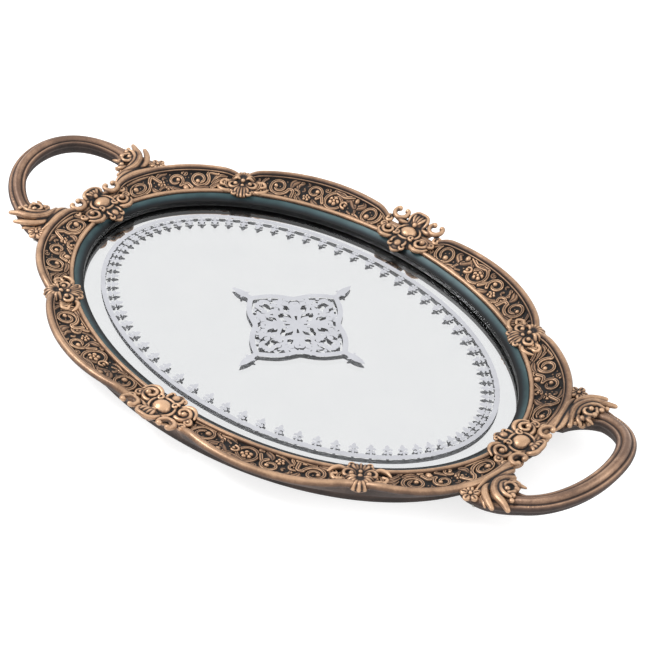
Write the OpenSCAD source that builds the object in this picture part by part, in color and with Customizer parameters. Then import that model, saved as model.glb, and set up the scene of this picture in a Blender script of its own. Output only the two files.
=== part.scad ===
// Oval serving tray with a mirror floor, a cast ornamental rim and two fixed loop handles.
// The origin is on the table under the middle of the oval. +X runs to the right handle, +Z is up.

/* [Oval] */
// Half length of the oval at the inside edge of the inner bead
inner_a = 170; // [160:1:180]
// Half width of the oval at the inside edge of the inner bead
inner_b = 116; // [110:1:122]

/* [Rim] */
// Reach of the end lobes, out from the inner bead to the outer bead's outside
lobe_end = 26.5; // [24:0.5:28]
// Reach of the side lobes
lobe_side = 28; // [26:0.5:30]
// Reach where the outline dips, at the shells and the cartouches
dip = 16.5; // [15.5:0.5:18]
// How square the lobes are: a smaller power gives fuller shoulders
lobe_power = 0.63; // [0.5:0.01:0.9]
// Radius of the outer bead
outer_bead_r = 2.6; // [2.3:0.1:3]
// Height of the outer bead's centre above the table
outer_bead_z = 21.8; // [21:0.2:22.4]
// Radius of the inner bead
inner_bead_r = 1.6; // [1.4:0.1:1.8]
// Height of the inner bead's centre above the table
inner_bead_z = 16; // [15.8:0.1:16.4]
// Distance of the foot's outside from the inner bead
foot_out = 11.5; // [11:0.5:13]

/* [Floor layers] */
// Thickness of the felt under the tray
felt_t = 1; // [0.8:0.1:1.5]
// Thickness of the backing board
board_t = 2.5; // [2:0.1:3]
// Thickness of the packing sheet between the board and the mirror
sheet_t = 0.8; // [0.5:0.1:1]
// Thickness of the silver coat and its backing paint
silver_t = 0.2; // [0.1:0.05:0.3]
// Thickness of the mirror glass
glass_t = 3.5; // [3:0.1:4]
// Thickness of the frosted pattern on the glass
frost_t = 0.12; // [0.1:0.01:0.2]

/* [Cove] */
// How far the cove reaches in over the glass from the inner bead
cove_reach = 6.3; // [5.5:0.1:7]
// Height of the cove's vertical inner face
cove_wall = 4; // [3:0.1:4.2]

/* [Handles] */
// Distance of the handle's middle from the centre, at the top of the loop
handle_x = 240; // [235:1:245]
// Distance of each handle root from the long axis
handle_y = 47; // [45:0.5:49]
// Height of the handle's middle at the root
handle_root_z = 18; // [17:0.5:19]
// Height of the handle's middle at the top of the loop
handle_top_z = 36; // [32:1:38]
// Half width of the grip
grip_r = 6.2; // [5.5:0.1:7]
// Half width of the web that joins the handle to the rim
web_half = 17; // [15:0.5:18]
// Radius of the threaded studs that hold the handles
stud_r = 1.6; // [1.5:0.1:2]

/* [Frosted pattern] */
// Gap between the cove and the frosted band
band_margin = 11.5; // [9:0.5:12]
// Width of the frosted band
band_w = 3.6; // [3:0.1:4.5]
// Number of leaf motifs round the band
motif_count = 72; // [60:4:84]
// Half diagonal of the medallion, without its finials
medallion_r = 42; // [38:0.5:46]
// Width of the medallion's outline band
medallion_band = 4; // [3:0.1:5]

/* [Fasteners] */
// Number of screws that hold the backing board
board_screw_count = 12; // [8:2:16]
// Radius of the backing screws
screw_r = 1.2; // [1:0.1:1.4]
// Radius of the pins that hold the cast ornaments
pin_r = 1; // [0.8:0.1:1.2]

/* [Hidden] */

copper = [0.62, 0.44, 0.30];
copper_light = [0.72, 0.54, 0.38];
dark_teal = [0.24, 0.32, 0.35];
frost = [0.86, 0.86, 0.90];
steel = [0.70, 0.70, 0.72];

// Sections round the oval, and the angles where the outline dips
sections = 120;
step = 360 / sections;
end_dip = 6;
shell_dip = 45;
side_dip = 84;

// Heights of the floor layers
board_z = felt_t;
sheet_z = board_z + board_t;
silver_z = sheet_z + sheet_t;
glass_z = silver_z + silver_t;
floor_z = glass_z + glass_t;

// The rebates under the rim: one for the board, one for the glass and the cove
board_edge = 8.5;
glass_edge = 2.2;
lip_z = floor_z + 4.2;
cove_top_z = inner_bead_z - 0.6;

// Angle measured from the nearest end of the long axis, 0 to 90
function fold(t) = let(a = abs(((t + 180) % 360 + 360) % 360 - 180)) a > 90 ? 180 - a : a;
function bump(s, low, high) = low + (high - low) * pow(max(0, sin(180 * s)), lobe_power);
function reach_at(a) =
    a < end_dip ? dip
    : a < shell_dip ? bump((a - end_dip) / (shell_dip - end_dip), dip, lobe_end)
    : a < side_dip ? bump((a - shell_dip) / (side_dip - shell_dip), dip, lobe_side)
    : dip;
function reach(t) = reach_at(fold(t));

// Outward direction of the oval at parameter angle t, and a point v outside the inner bead
function out_dir(t) = let(d = [inner_b * cos(t), inner_a * sin(t)]) d / norm(d);
function oval_pt(t, v) = [inner_a * cos(t), inner_b * sin(t)] + v * out_dir(t);
function oval_pt3(t, v, z) = concat(oval_pt(t, v), [z]);
function oval(v) = [for (i = [0 : sections - 1]) oval_pt(i * step, v)];
function arc_pt(cx, cz, r, a) = [cx + r * cos(a), cz + r * sin(a)];

// Top of the rim's cross section, from the inner bead out over the field and the outer bead
field_start = [3.6, 15.3];
field_rise = 4;
function bead_v(w) = w - outer_bead_r;
function field_pt(w, u) =
    [field_start[0] + (bead_v(w) - outer_bead_r - 0.3 - field_start[0]) * u,
     field_start[1] + field_rise * pow(u, 1.3)];
function top_profile(w) = concat(
    [for (a = [180, 130, 80, 35, 0]) arc_pt(inner_bead_r, inner_bead_z, inner_bead_r, a)],
    [for (u = [0, 0.5, 1]) field_pt(w, u)],
    [for (a = [170, 130, 90, 50, 10, -30]) arc_pt(bead_v(w), outer_bead_z, outer_bead_r, a)]);
// The flared outer wall below the outer bead, down to the foot
wall_v = foot_out + 1;
function wall_profile(w) = [
    arc_pt(bead_v(w), outer_bead_z, outer_bead_r, -70),
    [wall_v + (w - wall_v) * 0.45, 12],
    [wall_v, 6.5],
    [foot_out, felt_t]];
function rebate_profile() = [
    [board_edge, felt_t],
    [board_edge, sheet_z],
    [glass_edge, sheet_z],
    [glass_edge, lip_z],
    [0, lip_z]];
function rim_profile(w) = concat(top_profile(w), wall_profile(w), rebate_profile());

// Two triangles for the four-sided face a, b, c, d
function halves(a, b, c, d) = [[a, b, c], [a, c, d]];

// A closed solid through rings of points; loop joins the last ring to the first
module loft(rings, loop = false) {
    n = len(rings);
    m = len(rings[0]);
    pts = [for (r = rings) each r];
    sides = [for (j = [0 : loop ? n - 1 : n - 2], i = [0 : m - 1]) let(k = (j + 1) % n)
        each halves(j * m + i, j * m + (i + 1) % m, k * m + (i + 1) % m, k * m + i)];
    caps = loop ? [] : [[for (i = [m - 1 : -1 : 0]) i], [for (i = [0 : m - 1]) (n - 1) * m + i]];
    polyhedron(pts, concat(sides, caps), convexity = 6);
}

// A closed solid between a grid of base points and a grid of top points
module tile(base, top) {
    n = len(base);
    m = len(base[0]);
    up = n * m;
    pts = concat([for (r = base) each r], [for (r = top) each r]);
    floors = [for (j = [0 : n - 2], i = [0 : m - 2])
        each halves(j * m + i, j * m + i + 1, (j + 1) * m + i + 1, (j + 1) * m + i)];
    roofs = [for (f = floors) [f[2] + up, f[1] + up, f[0] + up]];
    ends = [for (i = [0 : m - 2], e = [0, 1]) let(a = e * (n - 1) * m + i)
        each e == 0 ? halves(a + 1, a, a + up, a + 1 + up) : halves(a, a + 1, a + 1 + up, a + up)];
    edges = [for (j = [0 : n - 2], e = [0, 1]) let(a = j * m + e * (m - 1))
        each e == 0 ? halves(a, a + m, a + m + up, a + up) : halves(a + m, a, a + up, a + m + up)];
    polyhedron(pts, concat(floors, roofs, ends, edges), convexity = 6);
}

// Places where an ornament sits: [x side, y side]
right_back = [1, 1];
right_front = [1, -1];
left_back = [-1, 1];
left_front = [-1, -1];
// Draws the right back shape in the other quarters of the tray
module in_quarter(q) {
    mirror([q[0] < 0 ? 1 : 0, 0, 0])
        mirror([0, q[1] < 0 ? 1 : 0, 0])
            children();
}

// ---- Rim and floor ----

screw_v = 5.4;
screw_angles = [for (i = [0 : board_screw_count - 1]) (i + 0.5) * 360 / board_screw_count];
screw_depth = 5;

module rim_frame() {
    color(copper)
    difference() {
        loft([for (i = [0 : sections - 1])
            [for (p = rim_profile(reach(i * step))) oval_pt3(i * step, p[0], p[1])]], true);
        for (t = screw_angles)
            translate(oval_pt3(t, screw_v, sheet_z - 1))
                cylinder(h = screw_depth + 1, r = screw_r, $fn = 24);
        for (p = pin_places)
            translate([p[0], p[1], p[2] - pin_length / 2])
                cylinder(h = 20, r = pin_r, $fn = 24);
        all_studs();
    }
}

cove_lip_z = floor_z + cove_wall;
function cove_profile() = concat(
    [[-cove_reach, floor_z], [glass_edge, floor_z], [glass_edge, lip_z], [0, lip_z],
     [0, cove_top_z]],
    [for (u = [0.5, 0])
        [-cove_reach * (1 - u), cove_lip_z + (cove_top_z - cove_lip_z) * pow(u, 1.4)]]);

module cove_liner() {
    color(dark_teal)
    loft([for (i = [0 : sections - 1])
        [for (p = cove_profile()) oval_pt3(i * step, p[0], p[1])]], true);
}

module floor_layer(z, t, v) {
    translate([0, 0, z])
        linear_extrude(t)
            polygon(oval(v));
}

module mirror_glass() {
    color([0.85, 0.88, 0.90])
    floor_layer(glass_z, glass_t, glass_edge);
}

module mirror_silvering() {
    color([0.75, 0.75, 0.78])
    floor_layer(silver_z, silver_t, glass_edge);
}

module packing_sheet() {
    color([0.60, 0.50, 0.38])
    floor_layer(sheet_z, sheet_t, glass_edge);
}

module backing_board() {
    color([0.45, 0.34, 0.24])
    difference() {
        floor_layer(board_z, board_t, board_edge);
        screw_shanks(board_z - 1, sheet_z + 1);
        for (t = screw_angles)
            translate(oval_pt3(t, screw_v, board_z - 0.01))
                cylinder(h = head_t + 0.01, r = head_r, $fn = 32);
    }
}

module felt_pad() {
    color([0.10, 0.10, 0.11])
    floor_layer(0, felt_t, foot_out - 0.8);
}

head_r = 2.2;
head_t = 1.2;
module screw_shanks(z0, z1) {
    for (t = screw_angles)
        translate(oval_pt3(t, screw_v, z0))
            cylinder(h = z1 - z0, r = screw_r, $fn = 24);
}

module backing_screws() {
    color(steel)
    for (t = screw_angles)
        translate(oval_pt3(t, screw_v, board_z)) {
            cylinder(h = head_t, r = head_r, $fn = 32);
            cylinder(h = board_t + screw_depth, r = screw_r, $fn = 24);
        }
}

// ---- Frosted pattern on the glass ----

band_v = -cove_reach - band_margin;
motif_r = 1.5;

module motif() {
    translate([-1.9, 0]) circle(r = motif_r, $fn = 24);
    translate([-3.8, 2]) circle(r = motif_r, $fn = 24);
    translate([-3.8, -2]) circle(r = motif_r, $fn = 24);
    polygon([[0.2, 1.1], [-5.5, 1.2], [-8.4, 0], [-5.5, -1.2], [0.2, -1.1]]);
}

module frosted_border() {
    color(frost)
    translate([0, 0, floor_z]) {
        linear_extrude(frost_t)
            difference() {
                polygon(oval(band_v));
                polygon(oval(band_v - band_w));
            }
        for (i = [0 : motif_count - 1]) {
            t = (i + 0.5) * 360 / motif_count;
            d = out_dir(t);
            translate(concat(oval_pt(t, band_v - band_w), [0]))
                rotate(atan2(d[1], d[0]))
                    linear_extrude(frost_t)
                        motif();
        }
    }
}

// One side of the medallion's outline, from the +X tip to the +Y tip, with two lobes and a notch
lobe_out = 6;
function side_pt(u, r) = let(
    along = [r * (1 - u), r * u],
    wave = lobe_out * (abs(sin(360 * u)) - 0.35 * sin(180 * u)))
    along + wave * [0.7, 0.7];
function medallion_outline(r) = [for (k = [0 : 3], j = [0 : 15])
    let(p = side_pt(j / 16, r))
        [p[0] * cos(90 * k) - p[1] * sin(90 * k), p[0] * sin(90 * k) + p[1] * cos(90 * k)]];

module finial() {
    polygon([[-3, 2], [5, 1.6], [7, 4.6], [11, 2.6], [14.5, 0], [11, -2.6], [7, -4.6], [5, -1.6],
        [-3, -2]]);
}

module tracery() {
    circle(r = 4.5, $fn = 48);
    for (k = [0 : 7])
        rotate(45 * k) {
            translate([10, 0]) scale([1.6, 1]) circle(r = 2.6, $fn = 32);
            translate([4, -0.7]) square([22 + 8 * (k % 2 == 0 ? 1 : 0), 1.4]);
            translate([19, 3.2]) circle(r = 2.4, $fn = 32);
            translate([19, -3.2]) circle(r = 2.4, $fn = 32);
        }
    for (k = [0 : 3])
        rotate(90 * k)
            translate([29, 0]) circle(r = 2.6, $fn = 32);
}

module frosted_medallion() {
    color(frost)
    translate([0, 0, floor_z])
        linear_extrude(frost_t) {
            difference() {
                polygon(medallion_outline(medallion_r));
                polygon(medallion_outline(medallion_r - medallion_band * 1.4));
            }
            tracery();
            for (k = [0 : 3])
                rotate(90 * k)
                    translate([medallion_r, 0])
                        finial();
        }
}

// ---- Handles ----

// Middle line of the handle, from the back root (s = 0) over the top (s = 1), a cubic curve
root_angle = 18.5;
root_xy = oval_pt(root_angle, reach(root_angle));
curve_a = [root_xy[0], handle_y];
curve_b = curve_a + [24.5, 9.5];
curve_c = [handle_x, 40];
curve_d = [handle_x, 0];
function bezier(s) = let(q = 1 - s)
    q * q * q * curve_a + 3 * q * q * s * curve_b + 3 * q * s * s * curve_c + s * s * s * curve_d;
function bezier_dir(s) = let(q = 1 - s,
    d = q * q * (curve_b - curve_a) + 2 * q * s * (curve_c - curve_b) + s * s * (curve_d - curve_c))
    d / norm(d);
function smooth(s) = s * s * (3 - 2 * s);
function handle_z(s) = handle_root_z + (handle_top_z - handle_root_z) * smooth(s);
// The whole loop, u = 0 at the back root, 1 at the top and 2 at the front root
function loop_xy(u) = u <= 1 ? bezier(u) : let(p = bezier(2 - u)) [p[0], -p[1]];
function loop_dir(u) = u <= 1 ? bezier_dir(u) : let(d = bezier_dir(2 - u)) [-d[0], d[1]];
function loop_z(u) = handle_z(u <= 1 ? u : 2 - u);
// Share of the web left at u: 1 at a root, 0 past the web's end
web_end = 0.36;
function web(u) = let(s = min(u, 2 - u)) s > web_end ? 0 : pow(1 - s / web_end, 1.3);
grip_sides = 14;
function half_w(u) = grip_r + (web_half - grip_r) * web(u);
function half_h(u) = grip_r - 1.2 * web(u);
// Ring of the handle at u, grown by g, as points round the middle line
function handle_ring(u, g) = let(c = loop_xy(u), d = loop_dir(u), z = loop_z(u),
    side = [-d[1], d[0]], w = half_w(u) + g, h = half_h(u) + g)
    [for (k = [0 : grip_sides - 1]) let(a = k * 360 / grip_sides)
        [c[0] + side[0] * w * cos(a), c[1] + side[1] * w * cos(a), z + h * sin(a)]];
// Outside of the rim at height z, where its reach is w
function bead_out(w, z) = bead_v(w) + sqrt(max(0, pow(outer_bead_r, 2) - pow(z - outer_bead_z, 2)));
wall_join = outer_bead_z - outer_bead_r * sin(70);
function wall_out(w, z) =
    let(p = wall_profile(w), k = (z - p[1][1]) / (p[0][1] - p[1][1]))
        p[1][0] + (p[0][0] - p[1][0]) * max(0, min(1, k));
function rim_out(w, z) = z > wall_join ? bead_out(w, min(z, outer_bead_z + outer_bead_r))
    : wall_out(w, z);
// First ring of the web: its points lie on the rim's outside
function root_pt(p) = let(t = root_angle + (norm([p[0], p[1]] - [inner_a, 0])
    - norm(curve_a - [inner_a, 0])) / 2.25)
    oval_pt3(t, rim_out(reach(t), p[2]), p[2]);
function root_ring(g) = [for (p = handle_ring(0, g)) root_pt(p)];
function flip_y(ring) = [for (k = [0 : grip_sides - 1])
    let(p = ring[(grip_sides + grip_sides / 2 - k) % grip_sides]) [p[0], -p[1], p[2]]];

handle_rings = 44;
function handle_body() = concat(
    [root_ring(0)],
    [for (j = [1 : handle_rings - 1]) handle_ring(0.03 + 1.94 * (j - 1) / (handle_rings - 2), 0)],
    [flip_y(root_ring(0))]);

// Two studs in each root, along the rim's outward direction
stud_z = 15;
stud_in = 8;
stud_out = 10;
module root_studs() {
    for (dt = [-3, 3]) {
        t = root_angle + dt;
        d = out_dir(t);
        translate(oval_pt3(t, reach(t) - stud_in - 3, stud_z))
            rotate([0, 90, atan2(d[1], d[0])])
                cylinder(h = stud_in + stud_out, r = stud_r, $fn = 24);
    }
}

module all_studs() {
    for (q = [right_back, right_front, left_back, left_front])
        in_quarter(q)
            root_studs();
}

module right_handle_shape() {
    difference() {
        loft(handle_body());
        all_studs();
    }
}

module handle_right() {
    color(copper)
    right_handle_shape();
}

module handle_left() {
    color(copper)
    mirror([1, 0, 0])
        right_handle_shape();
}

module handle_studs() {
    color(steel)
    all_studs();
}

// Leaf spray: a leafy cap over the top of a handle root, ending in three pointed tips
spray_start = 0.03;
spray_end = 0.34;
spray_cols = 12;
spray_rows = 9;
function spray_u(j, a) = let(tip = abs(cos(3.6 * (a - 90))))
    spray_start + (spray_end - spray_start) * (0.7 + 0.3 * tip) * j / (spray_rows - 1);
function spray_pt(u, a, g) = let(c = loop_xy(u), d = loop_dir(u), side = [-d[1], d[0]])
    [c[0] + side[0] * (half_w(u) + g) * cos(a), c[1] + side[1] * (half_w(u) + g) * cos(a),
     loop_z(u) + (half_h(u) + g) * sin(a)];
function spray_h(j, a) = 0.7 + 2.8 * sin(180 * (j + 0.6) / spray_rows) * (0.6 + 0.4 * cos(9 * (a - 90)));
function spray_angle(i) = 52 + 76 * i / spray_cols;

module leaf_spray() {
    tile(
        [for (j = [0 : spray_rows - 1]) [for (i = [0 : spray_cols])
            spray_pt(spray_u(j, spray_angle(i)), spray_angle(i), 0)]],
        [for (j = [0 : spray_rows - 1]) [for (i = [0 : spray_cols])
            spray_pt(spray_u(j, spray_angle(i)), spray_angle(i), spray_h(j, spray_angle(i)))]]);
}

module leaf_spray_right_back() {
    color(copper_light) in_quarter(right_back) leaf_spray();
}

module leaf_spray_right_front() {
    color(copper_light) in_quarter(right_front) leaf_spray();
}

module leaf_spray_left_back() {
    color(copper_light) in_quarter(left_back) leaf_spray();
}

module leaf_spray_left_front() {
    color(copper_light) in_quarter(left_front) leaf_spray();
}

// ---- Cast ornaments on the rim ----

// Point of the rim's top surface: profile index i, at t between or on the sections
function rim_pt(t, i) = let(j = floor(t / step + 0.001), k = t / step - j,
    p = top_profile(reach(j * step))[i], q = top_profile(reach((j + 1) * step))[i])
    (1 - k) * oval_pt3(j * step, p[0], p[1]) + k * oval_pt3((j + 1) * step, q[0], q[1]);
// Direction in which an ornament stands up from profile point i: out of the rim
lift = [[-0.7, 0.7], [-0.4, 0.9], [0, 1], [0.1, 1], [0, 1], [0, 1], [-0.1, 1], [-0.2, 1], [-0.3, 1],
    [-0.3, 0.95], [0, 1], [0.6, 0.8], [1, 0.1], [0.9, -0.4]];
function lifted(t, i, h) = let(d = out_dir(t))
    rim_pt(t, i) + h * [lift[i][0] * d[0], lift[i][0] * d[1], lift[i][1]];
last_i = 13;

// A round lump of a hulled scroll
module lump(p, r) {
    translate(p) sphere(r = r, $fn = 6);
}

module scroll(a, b, ra, rb) {
    hull() {
        lump(a, ra);
        lump(b, rb);
    }
}

// Local place on a cartouche: s along the rim, v out from the inner bead, z above the table
function at(t, s, v, z) = let(d = out_dir(t))
    concat(oval_pt(t, v) + s * [-d[1], d[0]], [z]);

function gauss(x, r) = exp(-pow(x / r, 2));
// Height of a cartouche over the rim: a cabochon, its collar and a rounded edge
function cartouche_h(s, i, half) = let(v = i - 6.5, e = 1 - pow(abs(s) / half, 4))
    0.8 + e * (4.2 * gauss(s, 7) * gauss(v, 4) + 1.2 + 0.8 * cos(40 * v) * gauss(s, 12));

// Cartouche centred at angle t, covering n sections each way; len1 is the rim length of a degree
module cartouche(t, n, len1, half, crest) {
    angles = [for (j = [-2 * n : 2 * n]) t + j * step / 2];
    tile(
        [for (a = angles) [for (i = [0 : last_i]) rim_pt(a, i)]],
        [for (a = angles) [for (i = [0 : last_i])
            lifted(a, i, cartouche_h((a - t) * len1, i, half))]]);
    for (side = [-1, 1]) {
        scroll(at(t, side * 8, dip + 1.5, 22), at(t, side * 12.5, dip + 6.5, 23), 1.9, 1.4);
        scroll(at(t, side * 16, dip + 1.2, 21.5), at(t, side * 20, dip + 5.5, 22.5), 1.7, 1.1);
        scroll(at(t, side * 4, -1.2, 18.4), at(t, side * 6.5, -4.2, 17.2), 1.8, 1.6);
        scroll(at(t, side * 13, 1.5, 19.6), at(t, side * 9, -1.6, 18), 1.6, 1.6);
        scroll(at(t, side * 4.6, dip + crest - 4.2, 24), at(t, side * 2, dip + 1.2, 23), 2.2, 2.4);
    }
    scroll(at(t, 0, dip + 1, 23), at(t, 0, dip + crest - 2.8, 24), 3, 2.8);
    scroll(at(t, 0, 1, 19), at(t, 0, -6.8, 16.6), 3, 2.4);
}

end_len = inner_b * PI / 180;
side_len = inner_a * PI / 180;
crest_end = 10;
crest_side = 14.5;

module cartouche_right() {
    color(copper_light) cartouche(0, 3, end_len, 20, crest_end);
}

module cartouche_left() {
    color(copper_light) cartouche(180, 3, end_len, 20, crest_end);
}

module cartouche_back() {
    color(copper_light) cartouche(90, 2, side_len, 21, crest_side);
}

module cartouche_front() {
    color(copper_light) cartouche(270, 2, side_len, 21, crest_side);
}

// Shell at the dip between two lobes: ribbed fan outside, palmette inside, pearl between
shell_len = 2.55;
shell_half = 15;
function shell_h(s, i) = let(e = 1 - pow(abs(s) / shell_half, 4), v = i - 6)
    0.8 + e * (1.4 + 1.2 * pow(abs(v) / 7, 2) + 0.7 * cos(36 * s) * abs(v) / 7)
    + 2.2 * gauss(s, 3) * gauss(v, 1.4);

module shell() {
    angles = [for (j = [-4 : 4]) shell_dip + j * step / 2];
    tile(
        [for (a = angles) [for (i = [0 : last_i]) rim_pt(a, i)]],
        [for (a = angles) [for (i = [0 : last_i])
            lifted(a, i, shell_h((a - shell_dip) * shell_len, i))]]);
    for (k = [-1.5 : 1 : 1.5])
        scroll(at(shell_dip, k * 2.2, dip + 0.6, 23), at(shell_dip, k * 3.2, dip + 4.6, 22.5), 2, 1.5);
    for (k = [-1.5 : 1 : 1.5])
        scroll(at(shell_dip, k * 2.6, -0.6, 18.6), at(shell_dip, k * 3.8, -4, 16.8), 1.8, 1.5);
}

module shell_right_back() {
    color(copper_light) in_quarter(right_back) shell();
}

module shell_right_front() {
    color(copper_light) in_quarter(right_front) shell();
}

module shell_left_back() {
    color(copper_light) in_quarter(left_back) shell();
}

module shell_left_front() {
    color(copper_light) in_quarter(left_front) shell();
}

// Five-petalled rosettes beside each handle root
// Place on top of the web at u, off to one side of the handle's middle line
function web_top(u, off) = let(c = loop_xy(u), d = loop_dir(u), k = off / half_w(u))
    [c[0] - d[1] * off, c[1] + d[0] * off, loop_z(u) + half_h(u) * sqrt(1 - k * k)];
outer_rosette_at = web_top(0.03, 12.5) - [0, 0, 0.3];
inner_rosette_at = web_top(0.17, -10.5) - [0, 0, 0.3];
petal_r = 2.1;
rosette_t = 2.4;
module rosette(p) {
    translate(p) {
        cylinder(h = rosette_t, r = 3, $fn = 40);
        for (k = [0 : 4])
            rotate(72 * k)
                translate([3.9, 0, rosette_t / 2])
                    sphere(r = petal_r, $fn = 32);
        translate([0, 0, rosette_t])
            sphere(r = 1.5, $fn = 32);
    }
}

module outer_rosette_right_back() {
    color(copper_light) in_quarter(right_back) rosette(outer_rosette_at);
}

module outer_rosette_right_front() {
    color(copper_light) in_quarter(right_front) rosette(outer_rosette_at);
}

module outer_rosette_left_back() {
    color(copper_light) in_quarter(left_back) rosette(outer_rosette_at);
}

module outer_rosette_left_front() {
    color(copper_light) in_quarter(left_front) rosette(outer_rosette_at);
}

module inner_rosette_right_back() {
    color(copper_light) in_quarter(right_back) rosette(inner_rosette_at);
}

module inner_rosette_right_front() {
    color(copper_light) in_quarter(right_front) rosette(inner_rosette_at);
}

module inner_rosette_left_back() {
    color(copper_light) in_quarter(left_back) rosette(inner_rosette_at);
}

module inner_rosette_left_front() {
    color(copper_light) in_quarter(left_front) rosette(inner_rosette_at);
}

// Pins cast under the cartouches and shells, set in blind holes in the rim's field
pin_length = 5;
pin_v = 10;
field_pin_z = 15;
pin_angles = [0, 45, 90, 135, 180, 225, 270, 315];
pin_places = [for (t = pin_angles) oval_pt3(t, pin_v, field_pin_z)];

module ornament_pins() {
    color(steel)
    for (p = pin_places)
        translate([p[0], p[1], p[2] - pin_length / 2])
            cylinder(h = pin_length, r = pin_r, $fn = 24);
}

rim_frame();
cove_liner();
mirror_glass();
mirror_silvering();
frosted_border();
frosted_medallion();
packing_sheet();
backing_board();
felt_pad();
handle_left();
handle_right();
leaf_spray_right_back();
leaf_spray_right_front();
leaf_spray_left_back();
leaf_spray_left_front();
cartouche_right();
cartouche_left();
cartouche_back();
cartouche_front();
shell_right_back();
shell_right_front();
shell_left_back();
shell_left_front();
outer_rosette_right_back();
outer_rosette_right_front();
outer_rosette_left_back();
outer_rosette_left_front();
inner_rosette_right_back();
inner_rosette_right_front();
inner_rosette_left_back();
inner_rosette_left_front();
handle_studs();
ornament_pins();
backing_screws();
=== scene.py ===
import math

import bpy
import numpy as np
from mathutils import Matrix, Vector


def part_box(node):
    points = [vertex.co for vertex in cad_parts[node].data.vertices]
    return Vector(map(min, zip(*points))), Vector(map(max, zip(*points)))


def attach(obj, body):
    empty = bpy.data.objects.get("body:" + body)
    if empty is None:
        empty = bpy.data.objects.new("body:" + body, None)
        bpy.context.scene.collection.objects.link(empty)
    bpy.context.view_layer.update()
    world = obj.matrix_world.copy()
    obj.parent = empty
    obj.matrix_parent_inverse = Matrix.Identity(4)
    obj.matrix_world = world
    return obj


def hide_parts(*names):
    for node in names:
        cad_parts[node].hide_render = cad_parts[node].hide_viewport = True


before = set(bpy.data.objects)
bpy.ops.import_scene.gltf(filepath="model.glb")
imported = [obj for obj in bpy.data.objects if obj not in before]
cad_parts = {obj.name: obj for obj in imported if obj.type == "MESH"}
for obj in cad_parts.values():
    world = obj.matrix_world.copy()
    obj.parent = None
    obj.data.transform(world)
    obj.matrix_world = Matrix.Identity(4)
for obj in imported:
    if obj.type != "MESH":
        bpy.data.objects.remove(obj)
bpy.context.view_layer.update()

# Driving sizes, in millimetres, from the frame or from the part's design.
glass_low, glass_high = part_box("mirror_glass")
GLASS_EDGE = 2.2
A = glass_high[0] * 1000 - GLASS_EDGE
B = glass_high[1] * 1000 - GLASS_EDGE
FLOOR_Z = glass_high[2] * 1000
# The rim's width at its dips and lobes, and the angles where the dips lie in one quarter.
DIP, LOBE_END, LOBE_SIDE, LOBE_POWER = 16.5, 26.5, 28.0, 0.63
END_DIP, SHELL_DIP, SIDE_DIP = 6.0, 45.0, 84.0
# The outer and inner beads: radius and height of the centre.
OUT_R, OUT_Z = 2.4, 21.9
IN_R, IN_Z = 1.5, 16.1
# The field of scrollwork: where it starts, its height there and its rise to the outer bead.
FIELD_V, FIELD_Z, FIELD_RISE = 3.2, 15.3, 4.4
# The outer bead sinks this far where the rim dips, under the cartouches and under the shells.
CARTOUCHE_SINK, SHELL_SINK = 6.0, 3.6
COVE_REACH, COVE_WALL, COVE_TOP = 6.3, 4.0, 15.4
FELT_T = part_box("felt_pad")[1][2] * 1000
# The top of the rebate that holds the glass and the cove, and the bottom of the board's rebate.
REBATE_Z, BOARD_REBATE_Z = 12.2, 3.5
# The silvering reaches this far into the glass, so that no gap shows between them.
BOND = 0.03
# What lies on the glass is this far above it.
FILM_GAP = 0.02
rng = np.random.default_rng(7)


def fold(t):
    """The angle t in degrees, folded into the first quarter."""
    a = np.abs((np.asarray(t, float) + 180) % 360 - 180)
    return np.where(a > 90, 180 - a, a)


def bump(s, low, high):
    """A lobe between two dips, with s from 0 to 1."""
    return low + (high - low) * np.clip(np.sin(np.pi * s), 0, 1) ** LOBE_POWER


def reach(t):
    """The rim's outer edge at angle t, outside the inner oval."""
    a = fold(t)
    end = bump(np.clip((a - END_DIP) / (SHELL_DIP - END_DIP), 0, 1), DIP, LOBE_END)
    side = bump(np.clip((a - SHELL_DIP) / (SIDE_DIP - SHELL_DIP), 0, 1), DIP, LOBE_SIDE)
    return np.where(a < SHELL_DIP, end, side)


def out_dir(t):
    """The outward direction across the oval at angle t."""
    r = np.radians(np.asarray(t, float))
    d = np.stack([B * np.cos(r), A * np.sin(r)], -1)
    return d / np.linalg.norm(d, axis=-1, keepdims=True)


def oval(t, v):
    """The plan point at parameter t degrees, v outside the inner oval."""
    r = np.radians(np.asarray(t, float))
    return np.stack([A * np.cos(r), B * np.sin(r)], -1) + np.asarray(v, float)[..., None] * out_dir(t)


def field_width(t):
    return reach(t) - 2 * OUT_R - 0.9 - FIELD_V


def sink(t):
    """How far the outer edge sinks at angle t."""
    k = np.clip((reach(t) - DIP) / 6, 0, 1)
    depth = np.where(np.abs(fold(t) - SHELL_DIP) < 15, SHELL_SINK, CARTOUCHE_SINK)
    return depth * (1 - k * k * (3 - 2 * k))


def field_z(q):
    return FIELD_Z + FIELD_RISE * np.clip(q, 0, 1) ** 1.3


def field_xy(t, q):
    return oval(t, FIELD_V + field_width(t) * np.asarray(q, float))


def run_along(p):
    """The length of the line up to each of its points."""
    return np.concatenate([[0], np.cumsum(np.linalg.norm(np.diff(p, axis=0), axis=1))])


def even_angles(count, first=0.0, last=360.0):
    """Angles spaced evenly along the middle of the rim."""
    fine = np.linspace(first, last, 3601)
    run = run_along(oval(fine, np.full(len(fine), 12.0)))
    return np.interp(np.linspace(0, run[-1], count), run, fine)


# ---------------------------------------------------------------- materials


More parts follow.
